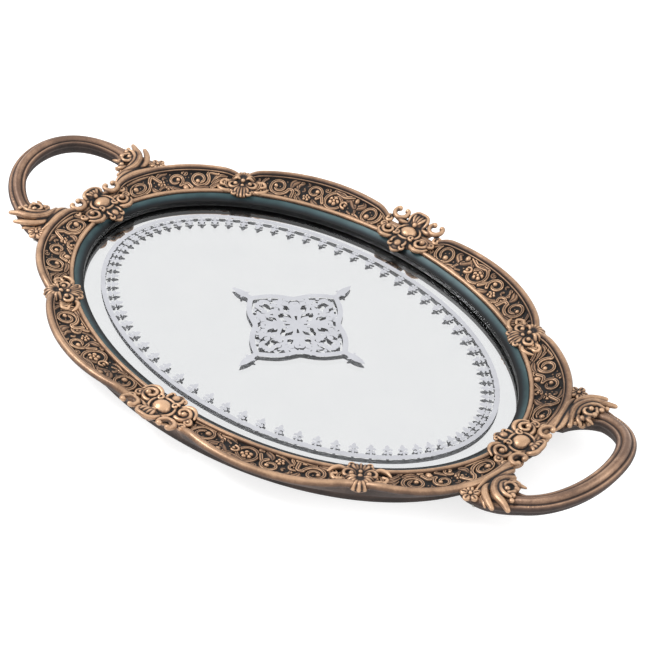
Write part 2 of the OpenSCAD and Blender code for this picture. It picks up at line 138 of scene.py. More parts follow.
class Nodes:
    """A small helper that builds a node tree."""

    def __init__(self, name):
        self.mat = bpy.data.materials.new(name)
        self.mat.use_nodes = True
        self.tree = self.mat.node_tree
        self.tree.nodes.clear()
        self.out = self.add("ShaderNodeOutputMaterial")
        self.bsdf = self.add("ShaderNodeBsdfPrincipled")
        self.link(self.bsdf, "BSDF", self.out, "Surface")
        self.place = self.add("ShaderNodeTexCoord")

    def add(self, kind, **props):
        n = self.tree.nodes.new(kind)
        for k, v in props.items():
            setattr(n, k, v)
        return n

    def link(self, a, out, b, into):
        self.tree.links.new(a.outputs[out], b.inputs[into])

    def noise(self, scale, detail=4.0, rough=0.55, stretch=None):
        n = self.add("ShaderNodeTexNoise")
        n.inputs["Scale"].default_value = scale
        n.inputs["Detail"].default_value = detail
        n.inputs["Roughness"].default_value = rough
        if stretch:
            m = self.add("ShaderNodeMapping")
            m.inputs["Scale"].default_value = stretch
            self.link(self.place, "Object", m, "Vector")
            self.link(m, "Vector", n, "Vector")
        else:
            self.link(self.place, "Object", n, "Vector")
        return n

    def ramp(self, source, out, stops):
        r = self.add("ShaderNodeValToRGB")
        e = r.color_ramp.elements
        while len(e) < len(stops):
            e.new(0.5)
        for i, (pos, col) in enumerate(stops):
            e[i].position = pos
            e[i].color = (*col, 1) if len(col) == 3 else col
        self.link(source, out, r, "Fac")
        return r

    def span(self, source, out, low, high, a=0.0, b=1.0):
        m = self.add("ShaderNodeMapRange")
        for k, v in zip(("From Min", "From Max", "To Min", "To Max"), (a, b, low, high)):
            m.inputs[k].default_value = v
        self.link(source, out, m, "Value")
        return m

    def math(self, op, a, a_out, b, b_out=None):
        m = self.add("ShaderNodeMath", operation=op)
        self.link(a, a_out, m, 0)
        if b_out is None:
            m.inputs[1].default_value = b
        else:
            self.link(b, b_out, m, 1)
        return m

    def mix(self, kind, fac, a, b):
        """a and b are colours or (node, output)."""
        m = self.add("ShaderNodeMix", data_type="RGBA", blend_type=kind)
        if isinstance(fac, tuple):
            self.tree.links.new(fac[0].outputs[fac[1]], m.inputs[0])
        else:
            m.inputs[0].default_value = fac
        for k, v in ((6, a), (7, b)):
            if isinstance(v[0], (int, float)):
                m.inputs[k].default_value = (*v, 1)
            else:
                self.tree.links.new(v[0].outputs[v[1]], m.inputs[k])
        return m

    def bump(self, source, out, depth, scale=1.0):
        b = self.add("ShaderNodeBump")
        b.inputs["Strength"].default_value = scale
        b.inputs["Distance"].default_value = depth
        self.link(source, out, b, "Height")
        self.link(b, "Normal", self.bsdf, "Normal")
        return b

    def tint(self, source, stops, out="Fac"):
        """Base colour from a ramp over a value."""
        self.link(self.ramp(source, out, stops), "Color", self.bsdf, "Base Color")

    def spread(self, source, low, high, socket="Roughness"):
        """A shader value that follows a noise between low and high."""
        self.link(self.span(source, "Fac", low, high), "Result", self.bsdf, socket)

    def set(self, **values):
        for k, v in values.items():
            self.bsdf.inputs[k.replace("_", " ")].default_value = v
        return self.mat


def rgb(r, g, b):
    """A linear colour from sRGB bytes."""
    return tuple((c / 255 / 12.92) if c <= 10 else ((c / 255 + 0.055) / 1.055) ** 2.4 for c in (r, g, b))


def patina(name, dark, mid, light, shine, low=0.0):
    """Cast copper: dark in the hollows, rubbed bright on the high places, with painted highlight and painted
    shade that its attribute carries.
    """
    n = Nodes(name)
    # This attribute holds patina and rubbing, and also painted highlight on tops and painted shade on sides
    # and undersides.
    wear_and_light = n.add("ShaderNodeAttribute", attribute_name="wear_and_light")
    cloud = n.noise(85, 6, 0.65)
    patch = n.noise(26, 3, 0.5)
    grain = n.noise(900, 3, 0.6)
    a = n.math("ADD", wear_and_light, "Fac", n.span(cloud, "Fac", -0.24 + low, 0.24 + low), "Result")
    a = n.math("ADD", a, 0, n.span(patch, "Fac", -0.12, 0.12, 0.25, 0.75), "Result")
    b = n.math("ADD", a, 0, n.span(grain, "Fac", -0.10, 0.10), "Result")
    tone = n.ramp(b, 0, [(0.08, dark), (0.36, mid), (0.66, light), (0.98, shine)])
    stain = n.noise(22, 3, 0.5)
    warm = n.mix("MULTIPLY", (n.span(stain, "Fac", 0.0, 0.6, 0.35, 0.75), "Result"),
                 (tone, "Color"), (0.84, 0.78, 0.78))
    n.link(warm, 2, n.bsdf, "Base Color")
    n.link(n.span(b, 0, 0.75, 0.34, 0.15, 0.9), "Result", n.bsdf, "Roughness")
    n.link(n.span(b, 0, 0.1, 0.4, 0.1, 0.7), "Result", n.bsdf, "Metallic")
    n.bump(grain, "Fac", 0.00012, 0.6)
    return n.mat


cast_copper = patina("cast_copper_patina", rgb(20, 15, 14), rgb(60, 43, 35), rgb(119, 91, 71),
                     rgb(200, 163, 130))
ornament_copper = patina("ornament_copper_patina", rgb(17, 14, 14), rgb(54, 40, 34),
                         rgb(128, 98, 75), rgb(216, 177, 141), low=-0.06)
handle_copper = patina("handle_copper_patina", rgb(26, 20, 18), rgb(68, 51, 43), rgb(118, 92, 75),
                       rgb(196, 159, 130))


def cove_material():
    n = Nodes("cove_enamel")
    split = n.add("ShaderNodeSeparateXYZ")
    n.link(n.place, "Object", split, "Vector")
    wobble = n.noise(35, 3, 0.5)
    z = n.math("ADD", split, "Z", n.span(wobble, "Fac", -0.0006, 0.0006), "Result")
    # Colour by height: near black on the low wall over the glass, a painted shadow in that gap; teal on the
    # slope; darker again along the top, under the bead.
    tone = n.ramp(n.span(z, 0, 0, 1, 0.008, 0.0156), "Result",
                  [(0.0, rgb(8, 9, 10)), (0.54, rgb(12, 13, 15)), (0.62, rgb(24, 33, 38)),
                   (0.74, rgb(52, 72, 77)), (0.88, rgb(68, 92, 95)), (0.95, rgb(24, 30, 32)),
                   (1.0, rgb(16, 17, 18))])
    streak = n.noise(40, 5, 0.6)
    streaks_and_shade = n.mix("MULTIPLY", (n.span(streak, "Fac", 0.0, 0.9, 0.38, 0.68), "Result"), (tone, "Color"),
                 (0.40, 0.50, 0.50))
    n.link(streaks_and_shade, 2, n.bsdf, "Base Color")
    n.spread(streak, 0.30, 0.50)
    n.bump(n.noise(220, 4, 0.6), "Fac", 0.0001, 0.4)
    return n.set(Metallic=0.15, Specular_IOR_Level=0.3)


def glass_material():
    n = Nodes("clear_glass")
    haze = n.noise(45, 4, 0.6)
    n.link(n.span(haze, "Fac", 0.0, 0.008, 0.5, 0.8), "Result", n.bsdf, "Roughness")
    return n.set(Base_Color=(0.99, 0.995, 0.995, 1), IOR=1.46, Transmission_Weight=1.0)


def silver_material():
    n = Nodes("silvering")
    cloud = n.noise(30, 4, 0.6)
    n.tint(cloud, [(0.3, (0.805, 0.812, 0.82)), (0.7, (0.825, 0.83, 0.835))])
    n.spread(cloud, 0.004, 0.014)
    return n.set(Metallic=1.0)


def frost_material():
    n = Nodes("etched_frost")
    grain = n.noise(1500, 3, 0.7)
    cloud = n.noise(70, 4, 0.6)
    n.tint(cloud, [(0.3, rgb(172, 173, 178)), (0.7, rgb(182, 183, 188))])
    n.spread(grain, 0.45, 0.75)
    n.bump(grain, "Fac", 0.00005, 0.5)
    return n.set(IOR=1.2)


def board_material(name, dark, light, scale, stretch=None):
    n = Nodes(name)
    grain = n.noise(scale, 6, 0.65, stretch)
    n.tint(grain, [(0.3, dark), (0.7, light)])
    n.bump(grain, "Fac", 0.0002, 0.5)
    return n.set(Roughness=0.8)


def felt_material():
    n = Nodes("black_felt")
    fibre = n.noise(1400, 6, 0.75)
    clump = n.noise(120, 4, 0.6)
    both = n.math("MULTIPLY", fibre, "Fac", clump, "Fac")
    n.tint(both, [(0.12, rgb(7, 7, 8)), (0.30, rgb(18, 18, 20)), (0.55, rgb(40, 39, 42))], 0)
    n.bump(fibre, "Fac", 0.0004, 0.9)
    return n.set(Roughness=0.95, Sheen_Weight=0.12, Sheen_Roughness=0.6)


def steel_material():
    n = Nodes("zinc_steel")
    cloud = n.noise(400, 4, 0.6)
    n.tint(cloud, [(0.3, rgb(120, 118, 112)), (0.7, rgb(190, 188, 182))])
    n.spread(cloud, 0.25, 0.5)
    n.bump(cloud, "Fac", 0.00005, 0.4)
    return n.set(Metallic=1.0)


cove_enamel = cove_material()
clear_glass = glass_material()
silvering = silver_material()
frost = frost_material()
felt_black = felt_material()
steel = steel_material()
hardboard = board_material("hardboard", rgb(74, 50, 34), rgb(120, 86, 58), 260)
kraft = board_material("kraft_paper", rgb(126, 98, 66), rgb(168, 136, 96), 500, (1, 6, 1))

# ---------------------------------------------------------------- mesh tools

# Rounds of smoothing from fine to broad. A full ridge stands WEAR_STAND mm per root of the rounds.
WEAR_ROUNDS, WEAR_STAND = (6, 30, 150), 0.045


def smooth_positions(verts, edges, rounds):
    """Moves each point halfway to the mean of its neighbours, rounds times."""
    n = len(verts)
    i, j = edges[:, 0], edges[:, 1]
    degree = np.bincount(i, minlength=n) + np.bincount(j, minlength=n)
    degree = np.maximum(degree, 1)
    v = verts.copy()
    for _ in range(rounds):
        for k in range(3):
            total = np.bincount(i, v[j, k], n) + np.bincount(j, v[i, k], n)
            v[:, k] += 0.5 * (total / degree - v[:, k])
    return v


def mesh_arrays(mesh):
    """The points, normals and edges of a mesh."""
    v = np.empty(len(mesh.vertices) * 3)
    mesh.vertices.foreach_get("co", v)
    nor = np.empty(len(mesh.vertices) * 3)
    mesh.vertices.foreach_get("normal", nor)
    e = np.empty(len(mesh.edges) * 2, int)
    mesh.edges.foreach_get("vertices", e)
    return v.reshape(-1, 3), nor.reshape(-1, 3), e.reshape(-1, 2)


def set_wear_and_light(mesh, wear_and_light):
    at = mesh.attributes.new("wear_and_light", "FLOAT", "POINT")
    at.data.foreach_set("value", np.asarray(wear_and_light, np.float32))


def wear_and_light_from_shape(mesh):
    """0 in the hollows and 1 on the ridges, from how far each point stands off smoothed copies, with painted
    light added on faces that look up.
    """
    v, nor, e = mesh_arrays(mesh)
    total = np.zeros(len(v))
    for rounds in WEAR_ROUNDS:
        stand = ((v - smooth_positions(v, e, rounds)) * nor).sum(1) * 1000
        total += np.clip(stand / (WEAR_STAND * math.sqrt(rounds)), -1, 1)
    ridge = total / len(WEAR_ROUNDS)
    # Faces that look up are painted lighter: painted top light.
    painted_top_light = np.clip(nor[:, 2], 0, 1) ** 2 * np.clip(ridge * 4 + 1, 0, 1)
    return np.clip(0.40 + 0.5 * ridge + 0.2 * painted_top_light, 0, 1)


def make_mesh(name, verts_mm, faces, mat=None, smooth=True):
    mesh = bpy.data.meshes.new(name)
    faces = faces.tolist() if isinstance(faces, np.ndarray) else faces
    mesh.from_pydata((np.asarray(verts_mm) * 0.001).tolist(), [], faces)
    mesh.update()
    mesh.polygons.foreach_set("use_smooth", [smooth] * len(mesh.polygons))
    if mat:
        mesh.materials.append(mat)
    return mesh


def add_piece(name, mesh, nodes):
    o = bpy.data.objects.new(name, mesh)
    bpy.context.scene.collection.objects.link(o)
    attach(o, "root")
    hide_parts(*nodes)
    return o


def ring_faces(n, m, loop_n=True):
    """Quads of a grid of n rings of m points."""
    i = np.arange(n if loop_n else n - 1)[:, None]
    j = np.arange(m)[None, :]
    k, l = (i + 1) % n, (j + 1) % m
    return np.stack([i * m + j, i * m + l, k * m + l, k * m + j], -1).reshape(-1, 4)


def end_caps(tips, low, high, count):
    """Triangles from the two tip points to the rings of count points that start at low and high."""
    faces = []
    for j in range(count):
        l = (j + 1) % count
        faces.append([tips, low + l, low + j])
        faces.append([tips + 1, high + j, high + l])
    return faces


def at_height(xy, z):
    """Plan points with the height z added."""
    return np.concatenate([xy, np.full((len(xy), 1), z)], 1)


def taper(n, r0, r1=None, r_mid=None):
    """n radii from r0 to r1 by way of r_mid."""
    s = np.linspace(0, 1, n)
    r1 = r0 if r1 is None else r1
    r_mid = 0.5 * (r0 + r1) if r_mid is None else r_mid
    return (1 - s) ** 2 * r0 + 2 * s * (1 - s) * (2 * r_mid - 0.5 * (r0 + r1)) + s ** 2 * r1


def swept(profiles, ts):
    """Vertices of profiles (n, m, 2) of (v, z) set round the oval at the angles ts."""
    n, m = profiles.shape[:2]
    xy = oval(np.repeat(ts[:, None], m, 1), profiles[..., 0])
    return np.concatenate([xy, profiles[..., 1:2]], -1).reshape(-1, 3)


def arc(cv, cz, r, a0, a1, steps):
    """Points (v, z) of an arc, with cv an array over the rings."""
    a = np.radians(np.linspace(a0, a1, steps))
    cv = np.atleast_1d(cv)[:, None]
    return np.stack([cv + r * np.cos(a), np.broadcast_to(cz + r * np.sin(a), (len(cv), steps))], -1)


def flat_pts(n, pts):
    return np.broadcast_to(np.array(pts, float), (n, len(pts), 2))


# ---------------------------------------------------------------- the rim's body


BEAD_STEPS, FILLET_STEPS, WALL_STEPS = (12, 20), 6, 9
RIM_COUNT = 1440


def rim_body():
    in_steps, out_steps = BEAD_STEPS
    ts = even_angles(RIM_COUNT + 1)[:-1]
    n = len(ts)
    w = reach(ts)
    bead_v = w - OUT_R
    drop = sink(ts)[:, None]
    inner = arc(np.full(n, IN_R), IN_Z, IN_R, 190, 0, in_steps)
    under = np.stack([np.stack([np.full(n, 3.1), bead_v - OUT_R - 1.5], -1),
                      np.stack([np.full(n, 14.4), 17.6 - drop[:, 0]], -1)], -1)
    fillet = arc(bead_v - OUT_R - 0.5, 21.5, 0.7, 200, 20, FILLET_STEPS)
    first, last = 165, -70
    outer = arc(bead_v, OUT_Z, OUT_R, first, last, out_steps)
    for part in (fillet, outer):
        part[..., 1] -= drop
    foot, board_v = 11.5, 8.5
    low_v = foot + 1
    wall = []
    start_v = outer[:, -1, 0]
    start_z = outer[:, -1, 1]
    mid_v = low_v + (w - low_v) * 0.5
    for s in np.linspace(0.1, 1, WALL_STEPS):
        q = 1 - s
        v = q * q * start_v + 2 * q * s * mid_v + s * s * low_v
        z = q * q * start_z + 2 * q * s * 12 + s * s * 6.5
        wall.append(np.stack([v, z], -1))
    wall = np.stack(wall, 1)
    base = flat_pts(n, [(low_v - 0.1, 4.2), (foot + 0.35, 2.2), (foot, 1.3), (foot - 0.5, FELT_T),
                        (board_v, FELT_T), (board_v, BOARD_REBATE_Z), (GLASS_EDGE, BOARD_REBATE_Z),
                        (GLASS_EDGE, REBATE_Z), (0, REBATE_Z)])
    prof = np.concatenate([inner, under, fillet, outer, wall, base], 1)
    m = prof.shape[1]
    verts = swept(prof, ts)
    faces = ring_faces(n, m)[:, ::-1]
    mesh = make_mesh("rim_body", verts, faces, cast_copper)
    # The beads are rubbed bright on top, partly a painted highlight along their tops; the wall under them
    # stays dark and even.
    a = np.linspace(first, last, out_steps)
    wear_and_light = np.concatenate([
        0.35 + 0.55 * np.sin(np.linspace(0.15, 1, in_steps) * np.pi), [0.0, 0.0],
        [0.05, 0.35, 0.75, 0.8, 0.45, 0.1],
        np.interp(a, [last, -20, 20, 60, 110, 150, first], [0.30, 0.42, 0.58, 0.86, 0.8, 0.35, 0.05]),
        np.full(WALL_STEPS, 0.34), np.full(base.shape[1], 0.2)])
    set_wear_and_light(mesh, np.tile(wear_and_light, n))
    return add_piece("rim_body", mesh, ["rim_frame"])


# ---------------------------------------------------------------- relief


def smooth_line(points, per=24):
    """A Catmull-Rom curve through the points."""
    p = np.asarray(points, float)
    p = np.concatenate([[2 * p[0] - p[1]], p, [2 * p[-1] - p[-2]]])
    out = []
    u = np.linspace(0, 1, per, endpoint=False)[:, None]
    for i in range(1, len(p) - 2):
        a, b, c, d = p[i - 1], p[i], p[i + 1], p[i + 2]
        out.append(0.5 * (2 * b + (c - a) * u + (2 * a - 5 * b + 4 * c - d) * u * u
                          + (3 * b - a - 3 * c + d) * u ** 3))
    out.append(p[-2:-1])
    return np.concatenate(out)


def resample(p, step):
    """The line's points again, about step apart."""
    run = run_along(p)
    n = max(4, int(run[-1] / step) + 1)
    s = np.linspace(0, run[-1], n)
    return np.stack([np.interp(s, run, p[:, k]) for k in range(p.shape[1])], -1)


def spiral_line(centre, r0, r1, a0, turn, squash=(1.0, 1.0), steps=90):
    """A spiral from radius r0 at angle a0, turning turn degrees, in to radius r1."""
    s = np.linspace(0, 1, steps)
    r = r0 + (r1 - r0) * s ** 0.9
    a = np.radians(a0 + turn * s)
    x, y = r * np.cos(a) * squash[0], r * np.sin(a) * squash[1]
    return np.stack([centre[0] + x, centre[1] + y], -1)


class Relief:
    """A height over plan points, built up from rounded strokes, each in a moat cut in what lies under it."""

    MOAT = 1.35
    THINNEST = 0.22

    def __init__(self, xy):
        self.xy = xy
        self.h = np.zeros(len(xy))

    def stroke(self, points, r0, r1=None, r_mid=None, height=1.7, groove=0.0):
        p = resample(np.asarray(points, float), 0.25)
        r = np.maximum(taper(len(p), r0, r1, r_mid), self.THINNEST)
        pad = r.max() * self.MOAT + 0.1
        lo, hi = p.min(0) - pad, p.max(0) + pad
        idx = np.nonzero(((self.xy >= lo) & (self.xy <= hi)).all(1))[0]
        for part in np.array_split(idx, max(1, len(idx) // 4000)):
            if not len(part):
                continue
            d2 = ((self.xy[part][:, None] - p[None]) ** 2).sum(2) / (r * r)[None]
            j = d2.argmin(1)
            n = np.sqrt(d2[np.arange(len(part)), j])
            tall = height * np.minimum(1, 0.45 + 0.55 * r[j] / r.max())
            prof = tall * np.clip(1 - n * n, 0, 1) ** 0.55
            if groove:
                prof = prof - groove * tall * np.exp(-(n / 0.28) ** 2)
            old = self.h[part]
            edge = np.clip((n - 1) / (self.MOAT - 1), 0, 1)
            moated = old * np.where(n < 1, 0.15, edge * edge * (3 - 2 * edge))
            self.h[part] = np.where(n < 1, np.maximum(prof, moated), moated)

    def blob(self, at, r, height=1.8, squash=1.0, angle=0.0):
        d = self.xy - np.asarray(at, float)
        c, s = math.cos(math.radians(angle)), math.sin(math.radians(angle))
        x = (d[:, 0] * c + d[:, 1] * s) / r
        y = (-d[:, 0] * s + d[:, 1] * c) / (r * squash)
        n = np.sqrt(x * x + y * y)
        edge = np.clip((n - 1) / 0.4, 0, 1)
        moated = self.h * np.where(n < 1, 0.2, edge)
        self.h = np.where(n < 1.4, np.maximum(height * np.clip(1 - n * n, 0, 1) ** 0.5, moated), self.h)

    def flower(self, at, r, turn=0.0, height=1.9):
        for k in range(5):
            a = math.radians(turn + 72 * k)
            self.blob((at[0] + 0.62 * r * math.cos(a), at[1] + 0.62 * r * math.sin(a)), 0.42 * r, height)
        self.blob(at, 0.3 * r, height * 1.1)

    def leaf(self, points, width, height=1.6):
        """A pointed leaf with a sunk vein."""
        self.stroke(smooth_line(points), width * 0.5, 0.2, width * 0.75, height, groove=0.35)


def motif(field):
    """The scrollwork of one quarter: t is the angle, q runs from the inner bead (0) to the outer (1)."""

    def at(t, q):
        return field_xy(np.array(t, float), np.array(q, float))

    def line(*tq):
        return smooth_line([at(t, q) for t, q in tq])

    def stem(*tq, w=1.2, tip=None, mid=None, groove=0.34):
        field.stroke(line(*tq), w, tip, mid, 2.0, groove)

    def leaf(width, *tq):
        field.leaf([at(t, q) for t, q in tq], width, 2.1)

    def scroll(t, q, r0, r1, a0, turn, w0, w1, lead=(), squash=(1, 1), bud=0.0, groove=0.4):
        """A scroll: its lead-in points, then the spiral, then a bud. Angles are from outward."""
        c = at(t, q)
        d = out_dir(np.array(t, float))
        base = math.degrees(math.atan2(d[1], d[0]))
        sp = spiral_line(c, r0, r1, base + a0, turn, squash)
        if lead:
            first = smooth_line([at(*p) for p in lead] + [sp[0], sp[3]])[:-24]
            sp = np.concatenate([first, sp])
        field.stroke(sp, w0, w1, groove=groove, height=2.3)
        if bud:
            field.blob(sp[-1], bud, 2.3 * 1.05)

    # Side lobe, from the cartouche to the shell.
    scroll(79.0, 0.55, 8.8, 3.0, 60, 520, 1.5, 1.1, lead=[(84.6, 0.7), (83.0, 1.0)], squash=(0.92, 1.0),
           bud=2.3)
    stem((82.5, 0.02), (79.0, -0.02), (75.8, 0.06), (73.4, 0.24), w=1.3, tip=0.8)
    leaf(2.8, (77.0, 0.04), (75.4, 0.18), (74.9, 0.40))
    leaf(2.6, (76.0, 0.02), (73.8, -0.02), (72.3, 0.10))
    stem((75.2, 0.26), (74.9, 0.50), (74.7, 0.76), w=1.0, tip=1.5)
    leaf(3.4, (74.9, 0.56), (76.4, 0.82), (75.8, 1.02))
    leaf(3.6, (74.5, 0.56), (72.9, 0.84), (71.6, 0.62))
    field.blob(at(74.3, 0.90), 2.7, 2.4, 0.75, 80)
    scroll(69.3, 0.46, 12.0, 6.0, 40, -420, 1.7, 1.2, lead=[(73.2, 1.0), (70.8, 0.84), (68.4, 0.96)],
           squash=(0.74, 0.80))
    scroll(71.9, 0.48, 3.4, 1.0, 170, 330, 1.1, 0.9, bud=1.3, groove=0.0)
    field.flower(at(69.0, 0.50), 4.2, 20, 2.4)
    scroll(63.6, 0.64, 6.4, 2.0, 150, -440, 1.5, 1.1, lead=[(66.6, 0.22), (65.6, 0.50)], bud=1.8)
    field.flower(at(62.2, 0.28), 3.2, 0, 2.0)
    stem((67.2, 0.02), (64.3, -0.02), (61.6, 0.05), (60.0, 0.24), w=1.5, tip=0.8)
    leaf(3.0, (65.6, 0.02), (64.2, 0.16), (63.9, 0.30))
    leaf(2.8, (60.2, 0.94), (59.2, 0.82), (59.4, 0.58))
    scroll(59.2, 0.38, 3.8, 1.2, -80, 340, 1.4, 1.0, lead=[(57.0, 0.06), (60.0, 0.02)], bud=1.5)
    leaf(3.6, (58.9, 1.0), (57.8, 0.84), (57.6, 0.60))
    scroll(54.5, 0.58, 9.0, 2.8, 100, 540, 1.6, 1.2, lead=[(58.4, 0.10), (58.3, 0.44)], squash=(0.84, 0.9),
           bud=1.7)
    stem((59.0, -0.02), (56.0, 0.0), (53.2, 0.03), (50.6, 0.06), w=1.4, tip=0.8)
    leaf(2.8, (51.8, 0.04), (50.4, 0.22), (50.2, 0.46))
    leaf(3.0, (53.8, 0.02), (51.6, 0.14), (50.9, 0.66))
    stem((51.2, 1.0), (50.2, 0.78), (50.0, 0.50), w=1.4, tip=0.9)
    scroll(48.0, 0.50, 5.0, 1.6, 60, 450, 1.5, 1.1, bud=1.5)
    # End lobe, from the shell to the cartouche.
    scroll(41.8, 0.56, 4.8, 1.6, -60, -420, 1.4, 1.1, bud=1.5)
    for k, (q0, q1) in enumerate([(0.92, 0.46), (0.66, 0.20), (0.38, 0.0)]):
        stem((40.4 - 0.5 * k, q0), (38.2, 0.5 * (q0 + q1) + 0.16), (36.4 - 0.5 * k, q1), w=0.8, mid=1.5)
    scroll(32.9, 0.60, 8.4, 2.6, 60, 520, 1.6, 1.2, lead=[(38.0, 0.98), (36.0, 1.0)], squash=(0.90, 0.86),
           bud=1.8)
    stem((36.0, 0.0), (32.4, 0.02), (29.6, 0.07), w=1.3, tip=2.2, groove=0.0)
    field.blob(at(28.6, 0.13), 3.0, 2.5, 0.8, 20)
    leaf(2.8, (35.0, 0.14), (33.0, 0.06), (31.0, 0.16))
    scroll(26.0, 0.56, 7.0, 2.2, 150, -430, 1.5, 1.1, lead=[(30.4, 0.14), (29.2, 0.36)], squash=(0.80, 0.90),
           bud=1.7)
    field.flower(at(21.6, 0.46), 3.2, 10, 2.0)
    leaf(3.0, (23.6, 0.98), (22.0, 0.96), (20.4, 0.80))
    stem((26.6, 0.02), (24.4, 0.20), (21.8, 0.28), (19.6, 0.10), w=1.4, tip=0.9)
    scroll(23.2, 0.06, 3.4, 1.1, -20, 360, 1.2, 0.9, bud=1.2)
    scroll(14.2, 0.46, 10.0, 3.0, 70, 580, 1.6, 1.2, lead=[(21.4, 0.56), (19.4, 0.90)], squash=(0.64, 1.0),
           bud=2.2)
    for k in range(2):
        stem((19.8 - 0.9 * k, 1.0), (15.0, 1.02 - 0.05 * k), (10.0 + 0.5 * k, 0.94), w=0.7, mid=1.2,
             groove=0.0)
    stem((19.0, 0.0), (14.2, -0.03), (10.0, 0.02), w=0.8, mid=1.3)
    leaf(2.8, (19.9, 0.04), (18.7, 0.18), (18.5, 0.40))
    leaf(3.0, (10.4, 0.9), (9.0, 0.55), (8.4, 0.2))


def fill_bare(field):
    """Curled leaves, commas and pearls wherever the ground is still bare."""
    for clear, kind in ((3.0, "curl"), (2.2, "comma"), (1.5, "pearl")):
        for t in even_angles(200, 7.0, 84.5):
            for q in np.linspace(0.14, 0.90, 9):
                c = field_xy(np.array(t), np.array(q))
                near = ((field.xy - c) ** 2).sum(1) < clear * clear
                if not near.any() or field.h[near].max() > 0.12:
                    continue
                turn = rng.uniform(0, 360)
                if kind == "curl":
                    field.stroke(spiral_line(c, 2.3, 0.8, turn, 330), 0.9, 0.7, groove=0.3, height=1.7)
                    field.blob(c, 0.9, 1.6)
                elif kind == "comma":
                    field.stroke(spiral_line(c, 1.6, 1.0, turn, 170), 1.0, 0.3, 0.9, groove=0.3, height=1.6)
                else:
                    field.blob(c, 0.8, 1.1, 0.8, turn)


def relief_piece(field_mesh, mirror, name):
    verts, faces, wear_and_light = field_mesh
    v = verts * np.array([mirror[0], mirror[1], 1.0])
    f = faces if mirror[0] * mirror[1] > 0 else faces[:, ::-1]
    mesh = make_mesh(name, v, f, ornament_copper)
    set_wear_and_light(mesh, wear_and_light)
    return add_piece(name, mesh, ["rim_frame"])


def relief_mesh():
    ts = even_angles(820, 0, 90)
    n = len(ts)
    qs = np.linspace(-0.06, 1.06, 62)
    m = len(qs)
    w = field_width(ts)
    v = FIELD_V + w[:, None] * qs[None]
    v[:, 0], v[:, -1] = 2.4, FIELD_V + w + 0.9
    v = np.maximum(v, 2.4 + np.arange(m)[None] * 0.01)
    z = field_z(qs)[None] - 0.5 - sink(ts)[:, None] * np.clip(qs, 0, 1)[None]
    t2 = np.repeat(ts[:, None], m, 1)
    xy = oval(t2, v)
    field = Relief(xy.reshape(-1, 2))
    motif(field)
    fill_bare(field)
    h = field.h.reshape(n, m)
    edge = np.minimum(1, np.minimum(np.arange(m), np.arange(m)[::-1]) / 3.0)
    # The ground is left rough from the mould.
    h = np.maximum(h, rng.uniform(0, 0.14, h.shape)) * edge[None]
    top = np.concatenate([xy, (z + h)[..., None]], -1)
    low = np.stack([np.concatenate([xy[:, -1], z[:, -1:] - 2.5], -1),
                    np.concatenate([xy[:, 0], np.full((n, 1), 13.4)], -1)], 1)
    rings = np.concatenate([top, low], 1)
    count = m + 2
    faces = ring_faces(n, count, loop_n=False)[:, ::-1]
    caps = []
    for e in (0, n - 1):
        k = e * count
        for j in range(m // 2):
            a, b, c, d = k + j, k + j + 1, k + m - 2 - j, k + m - 1 - j
            if b <= c:
                caps.append((a, b, c, d) if e == 0 else (d, c, b, a))
        caps.append((k, k + m - 1, k + m, k + m + 1) if e == 0 else (k + m + 1, k + m, k + m - 1, k))
    faces = np.concatenate([faces, np.array(caps)])
    wear_and_light = np.clip(0.04 + 0.62 * h / 1.7, 0, 1)
    mid = smooth_positions(np.stack([h.ravel()] * 3, -1), grid_edges(n, m), 5)[:, 0].reshape(n, m)
    wear_and_light = np.clip(wear_and_light + 1.1 * (h - mid), 0, 1)
    wear_and_light = np.concatenate([wear_and_light, np.zeros((n, 2))], 1)
    return rings.reshape(-1, 3), faces, wear_and_light.ravel()


def grid_edges(n, m):
    idx = np.arange(n * m).reshape(n, m)
    a = np.stack([idx[:, :-1].ravel(), idx[:, 1:].ravel()], -1)
    b = np.stack([idx[:-1].ravel(), idx[1:].ravel()], -1)
    return np.concatenate([a, b])


# ---------------------------------------------------------------- sculpted ornaments


